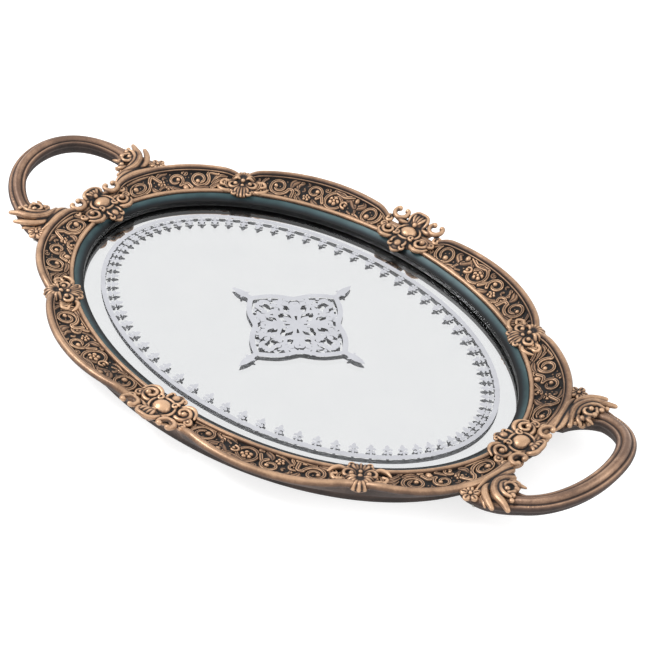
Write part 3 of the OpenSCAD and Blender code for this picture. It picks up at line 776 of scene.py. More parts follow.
class Sculpt:
    """A lump of overlapping tubes and balls, fused by a voxel remesh."""

    def __init__(self):
        self.verts, self.faces, self.count = [], [], 0

    def _add(self, v, rings, sides):
        """Adds a closed skin: rings of points, then its two tips."""
        k = self.count
        self.verts.append(v)
        self.faces += (ring_faces(rings, sides, loop_n=False) + k).tolist()
        self.faces += end_caps(k + rings * sides, k, k + (rings - 1) * sides, sides)
        self.count += len(v)

    def tube(self, points, r0, r1=None, r_mid=None, flat=1.0):
        sides = 10
        p = resample(smooth_line(points) if len(points) < 20 else np.asarray(points, float), 0.7)
        r = taper(len(p), r0, r1, r_mid)
        t = np.gradient(p, axis=0)
        t /= np.linalg.norm(t, axis=1, keepdims=True) + 1e-9
        side = np.cross(t, [0, 0, 1.0])
        side /= np.linalg.norm(side, axis=1, keepdims=True) + 1e-9
        up = np.cross(side, t)
        # Rounded ends: two extra rings at each.
        ends = [(p[0] - t[0] * r[0] * 0.9, r[0] * 0.15), (p[0] - t[0] * r[0] * 0.5, r[0] * 0.8)]
        tail = [(p[-1] + t[-1] * r[-1] * 0.5, r[-1] * 0.8), (p[-1] + t[-1] * r[-1] * 0.9, r[-1] * 0.15)]
        pts = np.array([e[0] for e in ends] + list(p) + [e[0] for e in tail])
        rad = np.array([e[1] for e in ends] + list(r) + [e[1] for e in tail])
        side = np.concatenate([side[:1], side[:1], side, side[-1:], side[-1:]])
        up = np.concatenate([up[:1], up[:1], up, up[-1:], up[-1:]])
        a = np.linspace(0, 2 * np.pi, sides, endpoint=False)
        ring = (side[:, None] * np.cos(a)[None, :, None] + up[:, None] * np.sin(a)[None, :, None] * flat)
        v = pts[:, None] + ring * rad[:, None, None]
        k = len(pts)
        self._add(np.concatenate([v.reshape(-1, 3), pts[[0, -1]]]), k, sides)

    def ball(self, c, r, turn=0.0):
        """An ellipsoid of radii r, turned about z."""
        rings, sides = 10, 16
        r = np.broadcast_to(np.asarray(r, float), (3,))
        lat = np.linspace(-math.pi / 2, math.pi / 2, rings + 2)[1:-1]
        lon = np.linspace(0, 2 * math.pi, sides, endpoint=False)
        v = np.stack([np.outer(np.cos(lat), np.cos(lon)), np.outer(np.cos(lat), np.sin(lon)),
                      np.outer(np.sin(lat), np.ones(sides))], -1).reshape(-1, 3) * r
        m = np.array(Matrix.Rotation(math.radians(turn), 3, "Z"))
        v = np.concatenate([v, [[0, 0, -r[2]], [0, 0, r[2]]]]) @ m.T + np.asarray(c, float)
        self._add(v, rings, sides)

    def spiral(self, c, r0, r1, a0, turn, w0, w1, rise=(0.0, 0.0), bud=0.0):
        p = spiral_line(c, r0, r1, a0, turn, steps=60)
        z = c[2] + np.linspace(rise[0], rise[1], len(p))
        self.tube(np.concatenate([p, z[:, None]], 1), w0, w1)
        if bud:
            self.ball((p[-1][0], p[-1][1], z[-1] + 0.2), bud)

    def pair(self, kind, *args, **kw):
        """The same part on both sides of x = 0."""
        part = getattr(self, kind)
        part(*args, **kw)
        place = np.asarray(args[0], float) * [-1, 1, 1]
        if kind == "spiral":
            r0, r1, a0, turn, w0, w1 = args[1:]
            part(place, r0, r1, 180 - a0, -turn, w0, w1, **kw)
        else:
            part(place, *args[1:], **kw)

    def fuse(self, voxel=0.36, rounds=2, carve=None):
        """The fused lump as (points, faces, wear and painted top light)."""
        mesh = make_mesh("lump", np.concatenate(self.verts), self.faces)
        o = bpy.data.objects.new("lump", mesh)
        bpy.context.scene.collection.objects.link(o)
        mod = o.modifiers.new("fuse", "REMESH")
        mod.mode = "VOXEL"
        mod.voxel_size = voxel * 0.001
        got = bpy.data.meshes.new_from_object(o.evaluated_get(bpy.context.evaluated_depsgraph_get()))
        v, nor, e = mesh_arrays(got)
        v = smooth_positions(v, e, rounds)
        if carve:
            v = carve(v * 1000, nor) * 0.001
        got.vertices.foreach_set("co", v.ravel())
        got.update()
        wear_and_light = wear_and_light_from_shape(got)
        f = [tuple(p.vertices) for p in got.polygons]
        bpy.data.objects.remove(o)
        bpy.data.meshes.remove(mesh)
        bpy.data.meshes.remove(got)
        return v * 1000, f, wear_and_light


def carve_lines(lines, depth, width):
    """Cuts grooves from above along plan lines."""

    def cut(v, nor):
        deep = np.zeros(len(v))
        for line in lines:
            p = resample(np.asarray(line, float)[:, :2], 0.3)
            lo, hi = p.min(0) - width * 3, p.max(0) + width * 3
            idx = np.nonzero(((v[:, :2] >= lo) & (v[:, :2] <= hi)).all(1))[0]
            if not len(idx):
                continue
            d2 = ((v[idx][:, None, :2] - p[None]) ** 2).sum(2).min(1)
            deep[idx] = np.maximum(deep[idx], depth * np.exp(-d2 / width ** 2))
        deep *= np.clip((nor[:, 2] - 0.3) / 0.4, 0, 1)
        return v - nor * deep[:, None]

    return cut


def bent(verts, t0):
    """Local (along the rim, outward, up) to the frame, following the oval."""
    ahead = oval(np.array([t0 - 0.5, t0 + 0.5]), np.array([8.0, 8.0]))
    per_degree = np.linalg.norm(ahead[1] - ahead[0])
    t = t0 - verts[:, 0] / per_degree
    xy = oval(t, verts[:, 1])
    return np.concatenate([xy, verts[:, 2:3]], 1)


def ornament(node, sculpt, verts, flip=False):
    """The fused lump, with its points moved to verts, in the place of a node."""
    faces, wear_and_light = sculpt[1:]
    if flip:
        faces = [f[::-1] for f in faces]
    mesh = make_mesh(node + "_cast", verts, faces, ornament_copper)
    set_wear_and_light(mesh, wear_and_light)
    add_piece(node + "_cast", mesh, [node])


def cartouche_sculpt(crest, lift, open_hooks):
    """crest: how far the fan and horns stand out past the dip of the rim; lift: how far they turn up."""
    s = Sculpt()
    edge = DIP + crest
    k = crest / 10
    s.ball((0, 7.5, 15.2), (17.5, 11, 4.0))
    s.ball((0, DIP + 1.0 * k, 17.0), (14.0, 4.6 * k, 3.0))
    # The smooth cabochon in its ridged ring, with a curl at each side of its foot.
    s.ball((0, 9.6, 17.6), (6.7, 6.2, 5.0))
    ring = spiral_line((0, 9.6), 8.6, 8.6, 60, 420, (1.0, 0.90))
    s.tube(at_height(ring[:78], 18.9), 1.05)
    s.pair("spiral", (6.4, 4.6, 19.8), 2.5, 0.8, 300, -300, 1.1, 0.9, bud=1.0)
    # The crest: a plump ribbed leaf, rolled at its edge, with a pearl at its root.
    s.ball((0, DIP + 4.0 * k, 19.2), (6.0, 5.0 * k, 3.6))
    roll = [(-5.6, DIP + 1.2, 19.2), (-6.4, DIP + 4.6 * k, 20.8), (-4.0, edge - 2.0, 21.4),
            (0, edge - 1.4, 21.6),
            (4.0, edge - 2.0, 21.4), (6.4, DIP + 4.6 * k, 20.8), (5.6, DIP + 1.2, 19.2)]
    s.tube(roll, 1.2, 1.2, 1.7)
    for x in (-3.9, -1.3, 1.3, 3.9):
        s.tube([(x * 0.35, DIP + 0.8, 21.4), (x * 0.85, DIP + 3.8 * k, 22.3), (x, edge - 2.6, 21.4)], 0.6,
               0.8, 1.1)
    s.ball((0, DIP + 0.4, 20.8), 1.9)
    # An open hook either side of the crest, both of its ends curled up and out.
    r = 4.7 if open_hooks else 4.3
    cx, cy = 14.4, DIP + (5.4 if open_hooks else 2.2)
    if not open_hooks:
        s.pair("ball", (cx - 1.0, cy - 2.0, 16.0), (r + 0.6, r + 0.6, 2.2))
    s.pair("spiral", (cx, cy, 19.6), r, r, 138, 264, 1.7, 1.7, rise=(1.2, 1.2))
    for a in (138, 402):
        c, d = math.cos(math.radians(a)), math.sin(math.radians(a))
        s.pair("ball", (cx + c * (r - 0.6), cy + d * (r - 0.4), 20.9), 1.9)
    s.pair("tube", [(6.6, DIP + 0.4, 19.4), (10.4, DIP - 0.2, 19.8), (14.6, cy - r + 0.3, 20.0)], 1.2, 1.7,
           1.6)
    s.pair("spiral", (20.6, DIP - 1.4, 18.6), 3.0, 1.0, 70, 330, 1.4, 1.0, bud=1.3)
    # Big side scrolls over the field, with pearls, running on along the inner bead.
    s.pair("spiral", (13.8, 5.0, 17.6), 5.8, 1.9, 120, -430, 1.7, 1.2, rise=(-0.2, 1.6), bud=2.0)
    s.pair("tube", [(8.6, 0.6, 16.8), (11.6, -1.8, 17.2), (15.8, -2.2, 17.4), (19.6, 0.4, 17.4),
                    (21.4, 4.4, 17.6)],
           1.3, 0.8, 1.7)
    s.pair("spiral", (20.0, 9.6, 17.8), 2.8, 1.0, 250, 380, 1.2, 0.9, bud=1.2)
    # The hooded inner shell over the cove, with its two volutes and tongue.
    s.ball((0, -2.4, 14.1), (6.0, 5.6, 3.0))
    hood = spiral_line((0, -2.0), 5.4, 5.4, 200, -220, steps=50)
    s.tube(at_height(hood, 17.4), 1.0, 1.0, 1.5)
    s.ball((0, -2.6, 16.6), (3.0, 3.4, 2.1))
    s.pair("spiral", (5.4, -4.6, 15.8), 2.9, 1.0, 80, 330, 1.2, 0.9, bud=1.2)
    s.tube([(-4.2, -6.4, 14.2), (0, -8.6, 13.6), (4.2, -6.4, 14.2)], 0.8, 0.8, 1.3)
    verts, faces, wear_and_light = s.fuse()
    verts[:, 2] += lift * np.clip((verts[:, 1] - 13) / 12, 0, 1.2)
    # The cabochon's top is painted bright: polish from handling and a painted highlight.
    near = (verts[:, 0] / 5.8) ** 2 + ((verts[:, 1] - 9.6) / 5.2) ** 2
    polish_and_highlight = 0.42 * np.exp(-near ** 2) * np.clip(verts[:, 2] - 19, 0, 1)
    return verts, faces, np.clip(wear_and_light + polish_and_highlight, 0, 1)


def shell_sculpt():
    s = Sculpt()
    s.ball((0, 7.5, 15.4), (12, 9, 3.4))
    # The scallop over the outer bead.
    s.ball((0, 14.4, 17.6), (6.6, 6.0, 3.8))
    for k in range(9):
        a = math.radians(-104 + 26 * k)
        c, d = math.sin(a), math.cos(a)
        s.tube([(c * 2.0, 12.0 + d * 2.0, 20.4), (c * 4.6, 13.2 + d * 4.4, 21.4),
                (c * 7.4, 13.6 + d * 7.2, 19.0)],
               0.7, 1.35, 1.35)
    s.ball((0, 10.4, 20.0), 1.8)
    # Two bold volutes under it, and leaf curls out to the sides.
    s.pair("spiral", (7.0, 7.4, 17.6), 5.0, 1.7, 60, 470, 1.6, 1.1, rise=(0, 1.4), bud=1.7)
    s.pair("tube", [(10.5, 12.2, 17.8), (14.4, 12.6, 17.8), (16.2, 9.4, 17.4), (13.6, 7.4, 17.4)], 1.5, 0.9,
           1.5)
    s.pair("tube", [(9.0, 2.2, 16.4), (12.8, 1.4, 16.6), (16.6, 3.2, 16.8), (19.0, 6.8, 17.2)], 1.4, 0.7, 1.7)
    # The inner palmette over the inner bead and the cove's edge.
    s.ball((0, 0.8, 15.2), (6.8, 4.6, 2.4))
    for x in (-4.4, -2.2, 0, 2.2, 4.4):
        s.tube([(x * 0.3, 5.0, 18.4), (x, 1.4, 18.2), (x * 1.2, -3.6 + abs(x) * 0.3, 16.0)], 0.7, 1.1, 1.3)
    s.pair("spiral", (6.2, -1.2, 17.0), 3.0, 1.0, 50, 350, 1.2, 0.9, bud=1.2)
    s.ball((0, 5.6, 19.0), 1.5)
    return s.fuse()


def rosette_sculpt():
    """A five-petal flower, each petal cupped."""
    r, height = 6.4, 4.6
    s = Sculpt()
    s.ball((0, 0, 0.9), (r * 0.72, r * 0.72, 1.5))
    hollows = []
    for k in range(5):
        a = math.radians(72 * k + 90)
        c, d = math.cos(a), math.sin(a)
        s.ball((c * r * 0.60, d * r * 0.60, height * 0.44), (r * 0.40, r * 0.38, height * 0.36), 72 * k + 90)
        hollows.append([(c * r * 0.46, d * r * 0.46), (c * r * 0.74, d * r * 0.74)])
    s.ball((0, 0, height * 0.60), (r * 0.20, r * 0.20, height * 0.30))
    verts, faces, wear_and_light = s.fuse(0.26, 1, carve_lines(hollows, 0.75, 0.85))
    return verts, faces, np.clip(wear_and_light + 0.1, 0, 1)


# ---------------------------------------------------------------- handles

ROOT_T = 18.5
ROOT = oval(np.array(ROOT_T), reach(np.array(ROOT_T)))
HANDLE_X, HANDLE_Y = 240.0, 47.0
ROOT_Z, TOP_Z = 18.0, 36.0
GRIP_R, WEB_HALF, WEB_END = 6.2, 17.0, 0.36
CURVE = np.array([[ROOT[0], HANDLE_Y], [ROOT[0] + 24.5, HANDLE_Y + 9.5], [HANDLE_X, 40.0], [HANDLE_X, 0.0]])


def handle_at(u):
    """Centre, direction, height and web share at u, 0 at the back root and 2 at the front root."""
    s = np.minimum(u, 2 - u)
    q = 1 - s
    w = np.stack([q ** 3, 3 * q * q * s, 3 * q * s * s, s ** 3], -1)
    p = w @ CURVE
    dw = np.stack([q * q, 2 * q * s, s * s], -1)
    d = dw @ np.diff(CURVE, axis=0)
    d /= np.linalg.norm(d, axis=-1, keepdims=True)
    far = (u > 1)[:, None]
    p = np.where(far, p * [1, -1], p)
    d = np.where(far, d * [-1, 1], d)
    z = ROOT_Z + (TOP_Z - ROOT_Z) * s * s * (3 - 2 * s)
    web = np.clip(1 - s / WEB_END, 0, 1) ** 1.3
    return p, d, z, web


def grip_section(count=56):
    """The grip's section as radii over angle: a broad middle rib between two beads, over a plain belly."""
    a = np.linspace(0, 2 * np.pi, count, endpoint=False)
    dx, dy = np.cos(a), np.sin(a)
    best = 1 / np.sqrt(dx ** 2 / 0.86 ** 2 + dy ** 2 / 0.92 ** 2) * np.where(dy < 0, 1, 0.74)
    for cx, cy, rx, ry in ((0, 0.30, 0.50, 0.66), (0.74, 0.22, 0.26, 0.36), (-0.74, 0.22, 0.26, 0.36)):
        qa = dx ** 2 / rx ** 2 + dy ** 2 / ry ** 2
        qb = -2 * (dx * cx / rx ** 2 + dy * cy / ry ** 2)
        qc = cx ** 2 / rx ** 2 + cy ** 2 / ry ** 2 - 1
        disc = qb * qb - 4 * qa * qc
        hit = np.where(disc > 0, (-qb + np.sqrt(np.maximum(disc, 0))) / (2 * qa), 0)
        best = np.maximum(best, hit)
    return dx * best, dy * best


def handle_mesh():
    us = np.linspace(0.012, 1.988, 420)
    p, d, z, web = handle_at(us)
    side = np.stack([-d[:, 1], d[:, 0]], -1)
    half_w = GRIP_R + (WEB_HALF - GRIP_R) * web
    half_h = GRIP_R - 1.2 * web
    sx, sy = grip_section()
    m, n = len(sx), len(us)
    # The roots flare further on the finger side.
    flare = np.where(sx[None] < 0, 1 + 0.38 * web[:, None] ** 0.6, 1.0)
    xy = p[:, None] + side[:, None] * (half_w[:, None] * sx[None] * flare)[..., None]
    # Toward its roots the handle grows a deep belly that meets the rim's wall.
    finger = 0.5 - 0.5 * sx[None]
    depth = np.where(sy[None] < 0, 1 + 0.95 * web[:, None] + 0.6 * finger, 1.0)
    zz = z[:, None] + half_h[:, None] * sy[None] * depth
    verts = np.concatenate([xy, zz[..., None]], -1)
    # The first and last rings run on into the rim.
    inward = -out_dir(np.full(m, ROOT_T)) * 5.0
    first = verts[0].copy()
    first[:, :2] += inward
    last = verts[-1].copy()
    last[:, :2] += inward * [1, -1]
    verts = np.concatenate([first[None], verts, last[None]])
    n += 2
    v = verts.reshape(-1, 3)
    k = len(v)
    ends = np.array([verts[0].mean(0), verts[-1].mean(0)])
    v = np.concatenate([v, ends])
    f = ring_faces(n, m, loop_n=False).tolist() + end_caps(k, 0, (n - 1) * m, m)
    # Across the grip: rib and bead tops bright, from rubbing and painted highlight; grooves dark; the sides
    # painted darker as shade.
    wear_and_light_ring = np.interp(np.abs(sx), [0, 0.25, 0.42, 0.50, 0.62, 0.74, 0.90, 1.0],
                          [0.64, 0.76, 0.66, 0.0, 0.30, 0.92, 0.50, 0.25])
    # The belly under the grip is painted darker, as shade, its lowest part a little lighter.
    wear_and_light_ring = np.where(sy < -0.05, 0.20 + 0.12 * (sy < -0.6), wear_and_light_ring)
    wear_and_light = np.concatenate([np.tile(wear_and_light_ring, n), [0.3, 0.3]])
    return v, f, wear_and_light


def spray_sculpt():
    """The leaves over a handle's root, right side, back half, in the frame's own millimetres."""
    s = Sculpt()
    # Long leaves along the rim, at the web's foot.
    s.tube([(183.6, 53.5, 21.6), (183.6, 46.0, 22.8), (185.6, 37.5, 23.2), (187.0, 28.5, 22.6),
            (187.6, 21.0, 20.4)],
           1.0, 0.8, 2.6, flat=0.8)
    s.tube([(186.0, 48.5, 22.0), (188.4, 41.0, 23.4), (190.2, 33.5, 23.4), (190.6, 27.0, 21.8),
            (189.6, 23.0, 20.0)],
           1.0, 0.8, 2.4, flat=0.8)
    s.tube([(184.4, 56.5, 21.0), (186.8, 52.6, 22.2), (188.0, 46.5, 23.0)], 0.6, 1.2, 2.0, flat=0.7)
    # The big C scroll: it leaves the rim at the finger side and its back ends in a long outer tip.
    s.tube([(194.4, 30.6, 21.6), (191.8, 36.0, 23.6), (190.6, 43.5, 25.0), (193.0, 50.0, 26.0),
            (197.6, 54.6, 26.8),
            (203.4, 57.2, 27.2), (208.6, 60.0, 26.8)], 1.8, 1.7, 3.0, flat=0.85)
    s.tube([(193.8, 39.0, 24.4), (193.8, 44.5, 26.2), (196.4, 49.4, 27.4), (200.4, 51.6, 28.4),
            (204.6, 51.6, 28.8)],
           1.2, 1.0, 1.8)
    # The second, shorter tip behind it, and the small leaf at its foot.
    s.tube([(189.0, 45.0, 23.4), (187.6, 50.6, 24.2), (190.4, 56.2, 25.0), (195.2, 60.4, 25.4),
            (200.2, 63.6, 25.2)],
           1.4, 1.6, 2.4, flat=0.8)
    s.tube([(189.2, 56.6, 21.6), (192.6, 59.6, 21.8), (195.0, 62.0, 21.2)], 1.6, 0.8, 1.6, flat=0.8)
    # The scroll's curled inner end, with its bud and lobes.
    s.spiral((199.0, 44.4, 26.4), 5.0, 2.2, 60, -330, 1.5, 1.1, rise=(1.2, 0.8), bud=2.0)
    s.ball((199.2, 44.6, 25.0), (4.6, 4.6, 2.2))
    for x, y, z, r in ((204.6, 49.4, 28.2, 1.9), (206.4, 53.0, 28.0, 1.7), (203.4, 43.2, 27.8, 1.9),
                       (198.4, 38.0, 25.4, 2.0), (201.8, 39.6, 26.6, 1.6)):
        s.ball((x, y, z), (r, r, r * 0.8))
    # Two leaf tips over the finger side.
    s.tube([(195.4, 38.6, 24.4), (197.2, 35.8, 24.2), (200.6, 33.8, 23.4)], 1.6, 0.7, 1.7, flat=0.8)
    s.tube([(199.4, 40.4, 25.8), (202.6, 38.2, 26.2), (206.2, 37.0, 26.0)], 1.6, 0.8, 1.6, flat=0.8)
    # Teeth along the grip's outer bead, past the leaf tips.
    for u in np.linspace(0.40, 0.58, 7):
        p, d, z, web = handle_at(np.array([u]))
        side = np.array([-d[0, 1], d[0, 0]])
        half = GRIP_R + (WEB_HALF - GRIP_R) * web[0]
        xy = p[0] + side * half * 0.72
        s.ball((xy[0], xy[1], z[0] + 2.4), 1.25 - 0.8 * (u - 0.40))
    return s.fuse(0.36)


# ---------------------------------------------------------------- the cove and the floor


def cove():
    ts = even_angles(RIM_COUNT // 2 + 1)[:-1]
    n = len(ts)
    u = np.linspace(1, 0, 14)
    slope_v = -COVE_REACH * (1 - u)
    slope_z = FLOOR_Z + COVE_WALL + (COVE_TOP - FLOOR_Z - COVE_WALL) * u ** 1.4
    foot = FLOOR_Z + FILM_GAP
    low = [(-COVE_REACH, FLOOR_Z + COVE_WALL - 0.5), (-COVE_REACH, FLOOR_Z + 1.5), (-COVE_REACH, foot),
           (GLASS_EDGE, foot), (GLASS_EDGE, REBATE_Z), (0, REBATE_Z), (0, COVE_TOP - 0.4)]
    pts = list(zip(slope_v, slope_z)) + low
    verts = swept(flat_pts(n, pts), ts)
    mesh = make_mesh("cove_ring", verts, ring_faces(n, len(pts)), cove_enamel)
    return add_piece("cove_ring", mesh, ["cove_liner"])


def slab(name, z0, z1, v, mat, node, bevel):
    """A flat oval layer with eased edges."""
    count = 360
    ts = np.linspace(0, 360, count, endpoint=False)
    b = min(bevel, (z1 - z0) * 0.4)
    levels = [(v - b, z0), (v, z0 + b), (v, z1 - b), (v - b, z1)]
    rings = [at_height(oval(ts, np.full(count, a)), z) for a, z in levels]
    # Inner rings keep the caps in even quads.
    for share in (0.75, 0.5, 0.25):
        inner = oval(ts, np.full(count, v - b)) * share
        rings.append(at_height(inner, z1))
        rings.insert(0, at_height(inner, z0))
    verts = np.concatenate(rings + [np.array([[0, 0, z0], [0, 0, z1]])])
    k = len(rings)
    faces = ring_faces(k, count, loop_n=False).tolist() + end_caps(k * count, 0, (k - 1) * count, count)
    mesh = make_mesh(name, verts, faces, mat, smooth=False)
    return add_piece(name, mesh, [node])


# ---------------------------------------------------------------- the etched pattern


def disc(pts, centre, z, t):
    """A thin prism over a closed outline, with a point in the middle of each of its two faces."""
    n = len(pts)
    mids = np.array([[*centre, z], [*centre, z + t]])
    verts = np.concatenate([at_height(pts, z), at_height(pts, z + t), mids])
    return verts, ring_faces(2, n, loop_n=False).tolist() + end_caps(2 * n, 0, n, n)


def ribbon(points, w0, w1, w_mid, z, t):
    """A flat strip of varying width along a plan line, as (verts, faces)."""
    p = resample(np.asarray(points, float), 0.5)
    n = len(p)
    d = np.gradient(p, axis=0)
    d /= np.linalg.norm(d, axis=1, keepdims=True) + 1e-9
    side = np.stack([-d[:, 1], d[:, 0]], -1) * taper(n, w0, w1, w_mid)[:, None]
    corners = ((p - side, z), (p + side, z), (p + side, z + t), (p - side, z + t))
    ring = np.stack([at_height(xy, height) for xy, height in corners], 1)
    f = ring_faces(n, 4, loop_n=False).tolist()
    f += [[0, 1, 2, 3][::-1], [(n - 1) * 4 + j for j in range(4)]]
    return ring.reshape(-1, 3), f


class Flat:
    """Collects thin strips and discs of the etched pattern."""

    LEVELS, BOTTOM_STEP, THIN_STEP = 139, 0.0002, 0.0006

    def __init__(self, z, t):
        self.z, self.t, self.v, self.f, self.count, self.step = z, t, [], [], 0, 0

    def add(self, v, f):
        self.v.append(v)
        self.f += [[i + self.count for i in q] for q in f]
        self.count += len(v)
        self.step = (self.step + 1) % self.LEVELS

    def level(self):
        """The next bottom and thickness: no two overlapping strips share a plane."""
        return self.z + self.BOTTOM_STEP * self.step, self.t - self.THIN_STEP * self.step

    def strip(self, pts, w0, w1=None, w_mid=None):
        self.add(*ribbon(pts, w0, w1, w_mid, *self.level()))

    def spot(self, c, r, squash=1.0, angle=0.0, count=20):
        a = np.linspace(0, 2 * np.pi, count, endpoint=False)
        x, y = r * np.cos(a), r * squash * np.sin(a)
        k, s = math.cos(math.radians(angle)), math.sin(math.radians(angle))
        pts = np.stack([c[0] + x * k - y * s, c[1] + x * s + y * k], -1)
        self.add(*disc(pts, c, *self.level()))

    def piece(self, name, node):
        mesh = make_mesh(name, np.concatenate(self.v), self.f, frost, smooth=False)
        return add_piece(name, mesh, [node])


# The frosted film is a little proud of the glass, so that light reaches its underside.
FROST_Z = FLOOR_Z + FILM_GAP
FROST_T = 0.11
BAND_V = -COVE_REACH - 11.5
BAND_W = 3.6
MOTIFS = 72
# The medallion's half diagonal and how far its centre lies off the tray's.
HALF, SHIFT = 43.5, (0.6, 2.4)


def etched_border():
    flat = Flat(FROST_Z, FROST_T)
    count = 480
    ts = np.linspace(0, 360, count, endpoint=False)
    wave = 0.5 * np.abs(np.sin(np.radians(36 * ts)))
    rings = [oval(ts, np.full(count, BAND_V)), oval(ts, BAND_V - BAND_W + wave)]
    top = FROST_Z + FROST_T
    v = np.concatenate([at_height(rings[0], FROST_Z), at_height(rings[1], FROST_Z),
                        at_height(rings[1], top), at_height(rings[0], top)])
    flat.add(v, ring_faces(4, count)[:, ::-1].tolist())
    for i in range(MOTIFS):
        t = (i + 0.5) * 360 / MOTIFS
        o = out_dir(np.array(t))
        s = np.array([-o[1], o[0]])
        foot = oval(np.array(t), BAND_V - BAND_W)

        def at(down, across):
            return foot - o * down + s * across

        flat.strip([at(-0.4, 0), at(2.2, 0), at(4.6, 0)], 0.8, 0.5)
        for side in (1, -1):
            flat.spot(at(1.9, 1.7 * side), 1.25, 0.8, math.degrees(math.atan2(o[1], o[0])) + 35 * side)
        for side in (1, -1):
            flat.strip(smooth_line([at(4.2, 0), at(4.9, 1.6 * side), at(3.9, 2.9 * side)]), 0.7, 0.4, 0.9)
        flat.strip(smooth_line([at(4.4, 0), at(6.6, 0), at(8.6, 0)]), 0.5, 0.15, 1.35)
    return flat.piece("etched_border", "frosted_border")


# The arabesque in one eighth of the medallion, along its diagonal: points, then start, end and middle widths.
ARABESQUE = (
    (((4, 2), (10, 5.5), (15, 3.5), (20, 6), (27, 3.2)), 1.1, 0.8, 1.3),
    (((10, 5.4), (13, 9.6), (18, 11.4), (21, 8.6), (18.4, 6.8)), 1.2, 1.1, 1.2),
    (((13, 9.4), (12, 13.4), (14.4, 16.6), (17.6, 15.2), (16.6, 12.8)), 1.1, 1.0, 1.2),
    (((20, 6), (24, 9.4), (28.4, 7.6)), 0.9, 0.3, 2.0),
    (((15, 3.6), (18.6, 0.9), (23, 0.6)), 0.9, 0.3, 1.8),
    (((27, 3.2), (31, 4.2), (35.0, 1.8)), 0.9, 0.5, 1.6),
    (((6, 6.6), (8.2, 10.6), (7.0, 14.6)), 0.8, 0.3, 2.0),
    (((18, 11.4), (21.6, 13.6), (20.4, 18.0)), 0.8, 0.3, 2.2),
    (((22.4, 10.2), (25.4, 12.6), (25.6, 15.4)), 0.6, 0.3, 1.5),
)
BUDS = (((24.8, 4.8), 2.1), ((10.2, 9.4), 1.9), ((20.8, 2.9), 1.6), ((30.6, 7.6), 1.3))


def etched_medallion():
    flat = Flat(FROST_Z, FROST_T)

    def turned(pts, k, side=1):
        """Points mirrored to one side of the diagonal, turned to quarter k and shifted to the centre."""
        a = math.radians(90 * k)
        c, s = math.cos(a), math.sin(a)
        p = np.asarray(pts, float) * [1, side]
        return np.stack([p[:, 0] * c - p[:, 1] * s + SHIFT[0], p[:, 0] * s + p[:, 1] * c + SHIFT[1]], -1)

    def side_line(r):
        """One bracket-shaped side of the frame: two low lobes that meet in a cusp."""
        u = np.linspace(0, 1, 60)
        along = np.stack([r * (1 - u), r * u], -1)
        wave = 1.9 * np.abs(np.sin(2 * np.pi * u)) - 1.3 * np.sin(np.pi * u) ** 8
        return along + wave[:, None] * 0.71

    for k in range(4):
        flat.strip(turned(side_line(HALF - 2.6), k), 1.8)
        # The pointed finial on its neck.
        flat.strip(turned([(HALF - 4.5, 0), (HALF - 1, 0), (HALF + 3.0, 0)], k), 2.6, 1.6, 1.9)
        flat.strip(turned([(HALF + 1.0, 0), (HALF + 7, 0), (HALF + 14.2, 0)], k), 2.0, 0.1, 2.5)
        for side in (-1, 1):
            barb = turned([(HALF + 2.4, 0), (HALF + 3.4, 2.2), (HALF + 2.6, 4.0)], k, side)
            flat.strip(smooth_line(barb), 1.3, 0.4, 1.1)
        for side in (-1, 1):
            for pts, w0, w1, w_mid in ARABESQUE:
                flat.strip(smooth_line(turned(pts, k, side)), w0, w1, w_mid)
            for at, r in BUDS:
                flat.spot(turned([at], k, side)[0], r)
        flat.spot(turned([(13.2, 13.2)], k)[0], 2.2)
        flat.spot(turned([(32.4, 0)], k)[0], 2.8, 0.7)
        flat.strip(smooth_line(turned([(3, 0), (7, 0), (12, 0)], k)), 0.8, 0.3, 2.3)
    flat.spot(SHIFT, 4.6, count=40)
    return flat.piece("etched_medallion", "frosted_medallion")


# ---------------------------------------------------------------- put together

QUARTERS = {"right_back": (1, 1), "right_front": (1, -1), "left_back": (-1, 1), "left_front": (-1, -1)}

rim_body()
relief = relief_mesh()
for where, sign in QUARTERS.items():
    relief_piece(relief, sign, "rim_relief_" + where)

cove()
slab("mirror_plate", glass_low[2] * 1000, FLOOR_Z, GLASS_EDGE, clear_glass,
     "mirror_glass", 0.2)
silver_low, silver_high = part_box("mirror_silvering")
slab("silver_layer", silver_low[2] * 1000, silver_high[2] * 1000 + BOND, GLASS_EDGE - BOND, silvering,
     "mirror_silvering", 0.02)
etched_border()
etched_medallion()

felt_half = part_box("felt_pad")[1]
felt = slab("felt_base", 0.0, FELT_T, felt_half[0] * 1000 - A, felt_black, "felt_pad", 0.3)

end_cartouche = cartouche_sculpt(8.0, 1.6, False)
side_cartouche = cartouche_sculpt(11.6, 3.0, True)
for where, angle, lump in (("right", 0, end_cartouche), ("back", 90, side_cartouche),
                           ("left", 180, end_cartouche), ("front", 270, side_cartouche)):
    ornament("cartouche_" + where, lump, bent(lump[0], angle))

shell = shell_sculpt()
for where, angle in (("right_back", 45), ("left_back", 135), ("left_front", 225), ("right_front", 315)):
    ornament("shell_" + where, shell, bent(shell[0], angle))

handle_points, handle_faces, handle_wear_and_light = handle_mesh()
for where, sign in (("right", 1), ("left", -1)):
    faces = handle_faces if sign > 0 else [f[::-1] for f in handle_faces]
    mesh = make_mesh("handle_" + where + "_cast", handle_points * [sign, 1, 1], faces, handle_copper)
    set_wear_and_light(mesh, handle_wear_and_light)
    add_piece("handle_" + where + "_cast", mesh, ["handle_" + where])

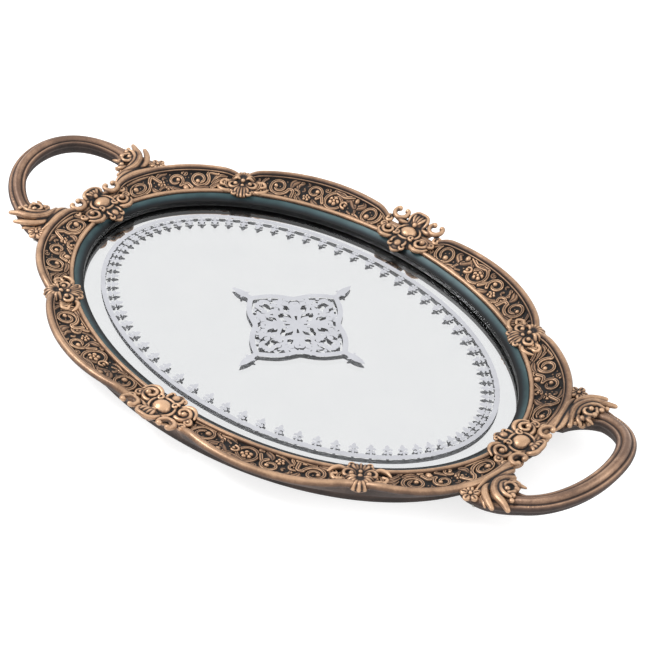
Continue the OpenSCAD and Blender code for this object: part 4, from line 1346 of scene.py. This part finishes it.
spray = spray_sculpt()
flower = rosette_sculpt()
for where, sign in QUARTERS.items():
    mirror = np.array([*sign, 1.0])
    flip = sign[0] * sign[1] < 0
    ornament("leaf_spray_" + where, spray, spray[0] * mirror, flip)
    for kind in ("outer", "inner"):
        node = kind + "_rosette_" + where
        low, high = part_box(node)
        foot = np.array([(low[0] + high[0]) / 2, (low[1] + high[1]) / 2, low[2]]) * 1000
        ornament(node, flower, flower[0] * mirror + foot, flip)

# These nodes keep their CAD mesh.
for name, mat in (("packing_sheet", kraft), ("backing_board", hardboard), ("handle_studs", steel),
                  ("ornament_pins", steel), ("backing_screws", steel)):
    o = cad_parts[name]
    if not len(o.material_slots):
        o.data.materials.append(mat)
    for material_slot in o.material_slots:
        material_slot.material = mat

# ---------------------------------------------------------------- camera, floor and light

scene = bpy.context.scene
# The view fitted to the photo's oval.
ELEVATION, AZIMUTH, ROLL = map(math.radians, (39.28, 36.10, 4.90))
TARGET = Vector((0.0144, 0.0151, 0.008))
DISTANCE, LENS = 1.0068, 83.68
back = Vector((math.sin(AZIMUTH) * math.cos(ELEVATION), -math.cos(AZIMUTH) * math.cos(ELEVATION),
               math.sin(ELEVATION)))
right = Vector((math.cos(AZIMUTH), math.sin(AZIMUTH), 0))
up = back.cross(right)
r2 = right * math.cos(ROLL) + up * math.sin(ROLL)
u2 = up * math.cos(ROLL) - right * math.sin(ROLL)
cam = bpy.data.objects.new("camera", bpy.data.cameras.new("camera"))
scene.collection.objects.link(cam)
cam.matrix_world = Matrix(((r2.x, u2.x, back.x, 0), (r2.y, u2.y, back.y, 0), (r2.z, u2.z, back.z, 0),
                           (0, 0, 0, 1)))
cam.location = TARGET + back * DISTANCE
cam.data.lens = LENS
cam.data.sensor_width = 36
cam.data.clip_start = 0.01
scene.camera = cam

FLOOR_HALF = 6.0
floor_mesh = bpy.data.meshes.new("floor")
corners = [(x * FLOOR_HALF, y * FLOOR_HALF, 0) for x, y in ((-1, -1), (1, -1), (1, 1), (-1, 1))]
floor_mesh.from_pydata(corners, [], [(0, 1, 2, 3)])
floor = bpy.data.objects.new("floor", floor_mesh)
scene.collection.objects.link(floor)
white = Nodes("floor_white")
white.tint(white.noise(3, 2), [(0.3, (0.47, 0.47, 0.47)), (0.7, (0.49, 0.49, 0.49))])
floor_mesh.materials.append(white.set(Roughness=0.9, Specular_IOR_Level=0.1, Emission_Color=(1, 1, 1, 1),
                                      Emission_Strength=0.72))

world = bpy.data.worlds.new("studio")
scene.world = world
world.use_nodes = True
background = world.node_tree.nodes["Background"]
background.inputs["Color"].default_value = (1, 1, 1, 1)
background.inputs["Strength"].default_value = 1.0


def softbox(name, place, size, power):
    """An area light aimed at the tray."""
    light = bpy.data.lights.new(name, "AREA")
    light.shape = "RECTANGLE"
    light.size, light.size_y = size
    light.energy = power
    o = bpy.data.objects.new(name, light)
    scene.collection.objects.link(o)
    o.location = place
    o.rotation_euler = (Vector((0, 0, 0.01)) - Vector(place)).to_track_quat("-Z", "Y").to_euler()


softbox("key", (-0.9, -0.5, 1.3), (0.7, 0.5), 15)
softbox("fill", (1.3, 0.4, 1.0), (0.8, 0.8), 5)

scene.view_settings.view_transform = "Standard"
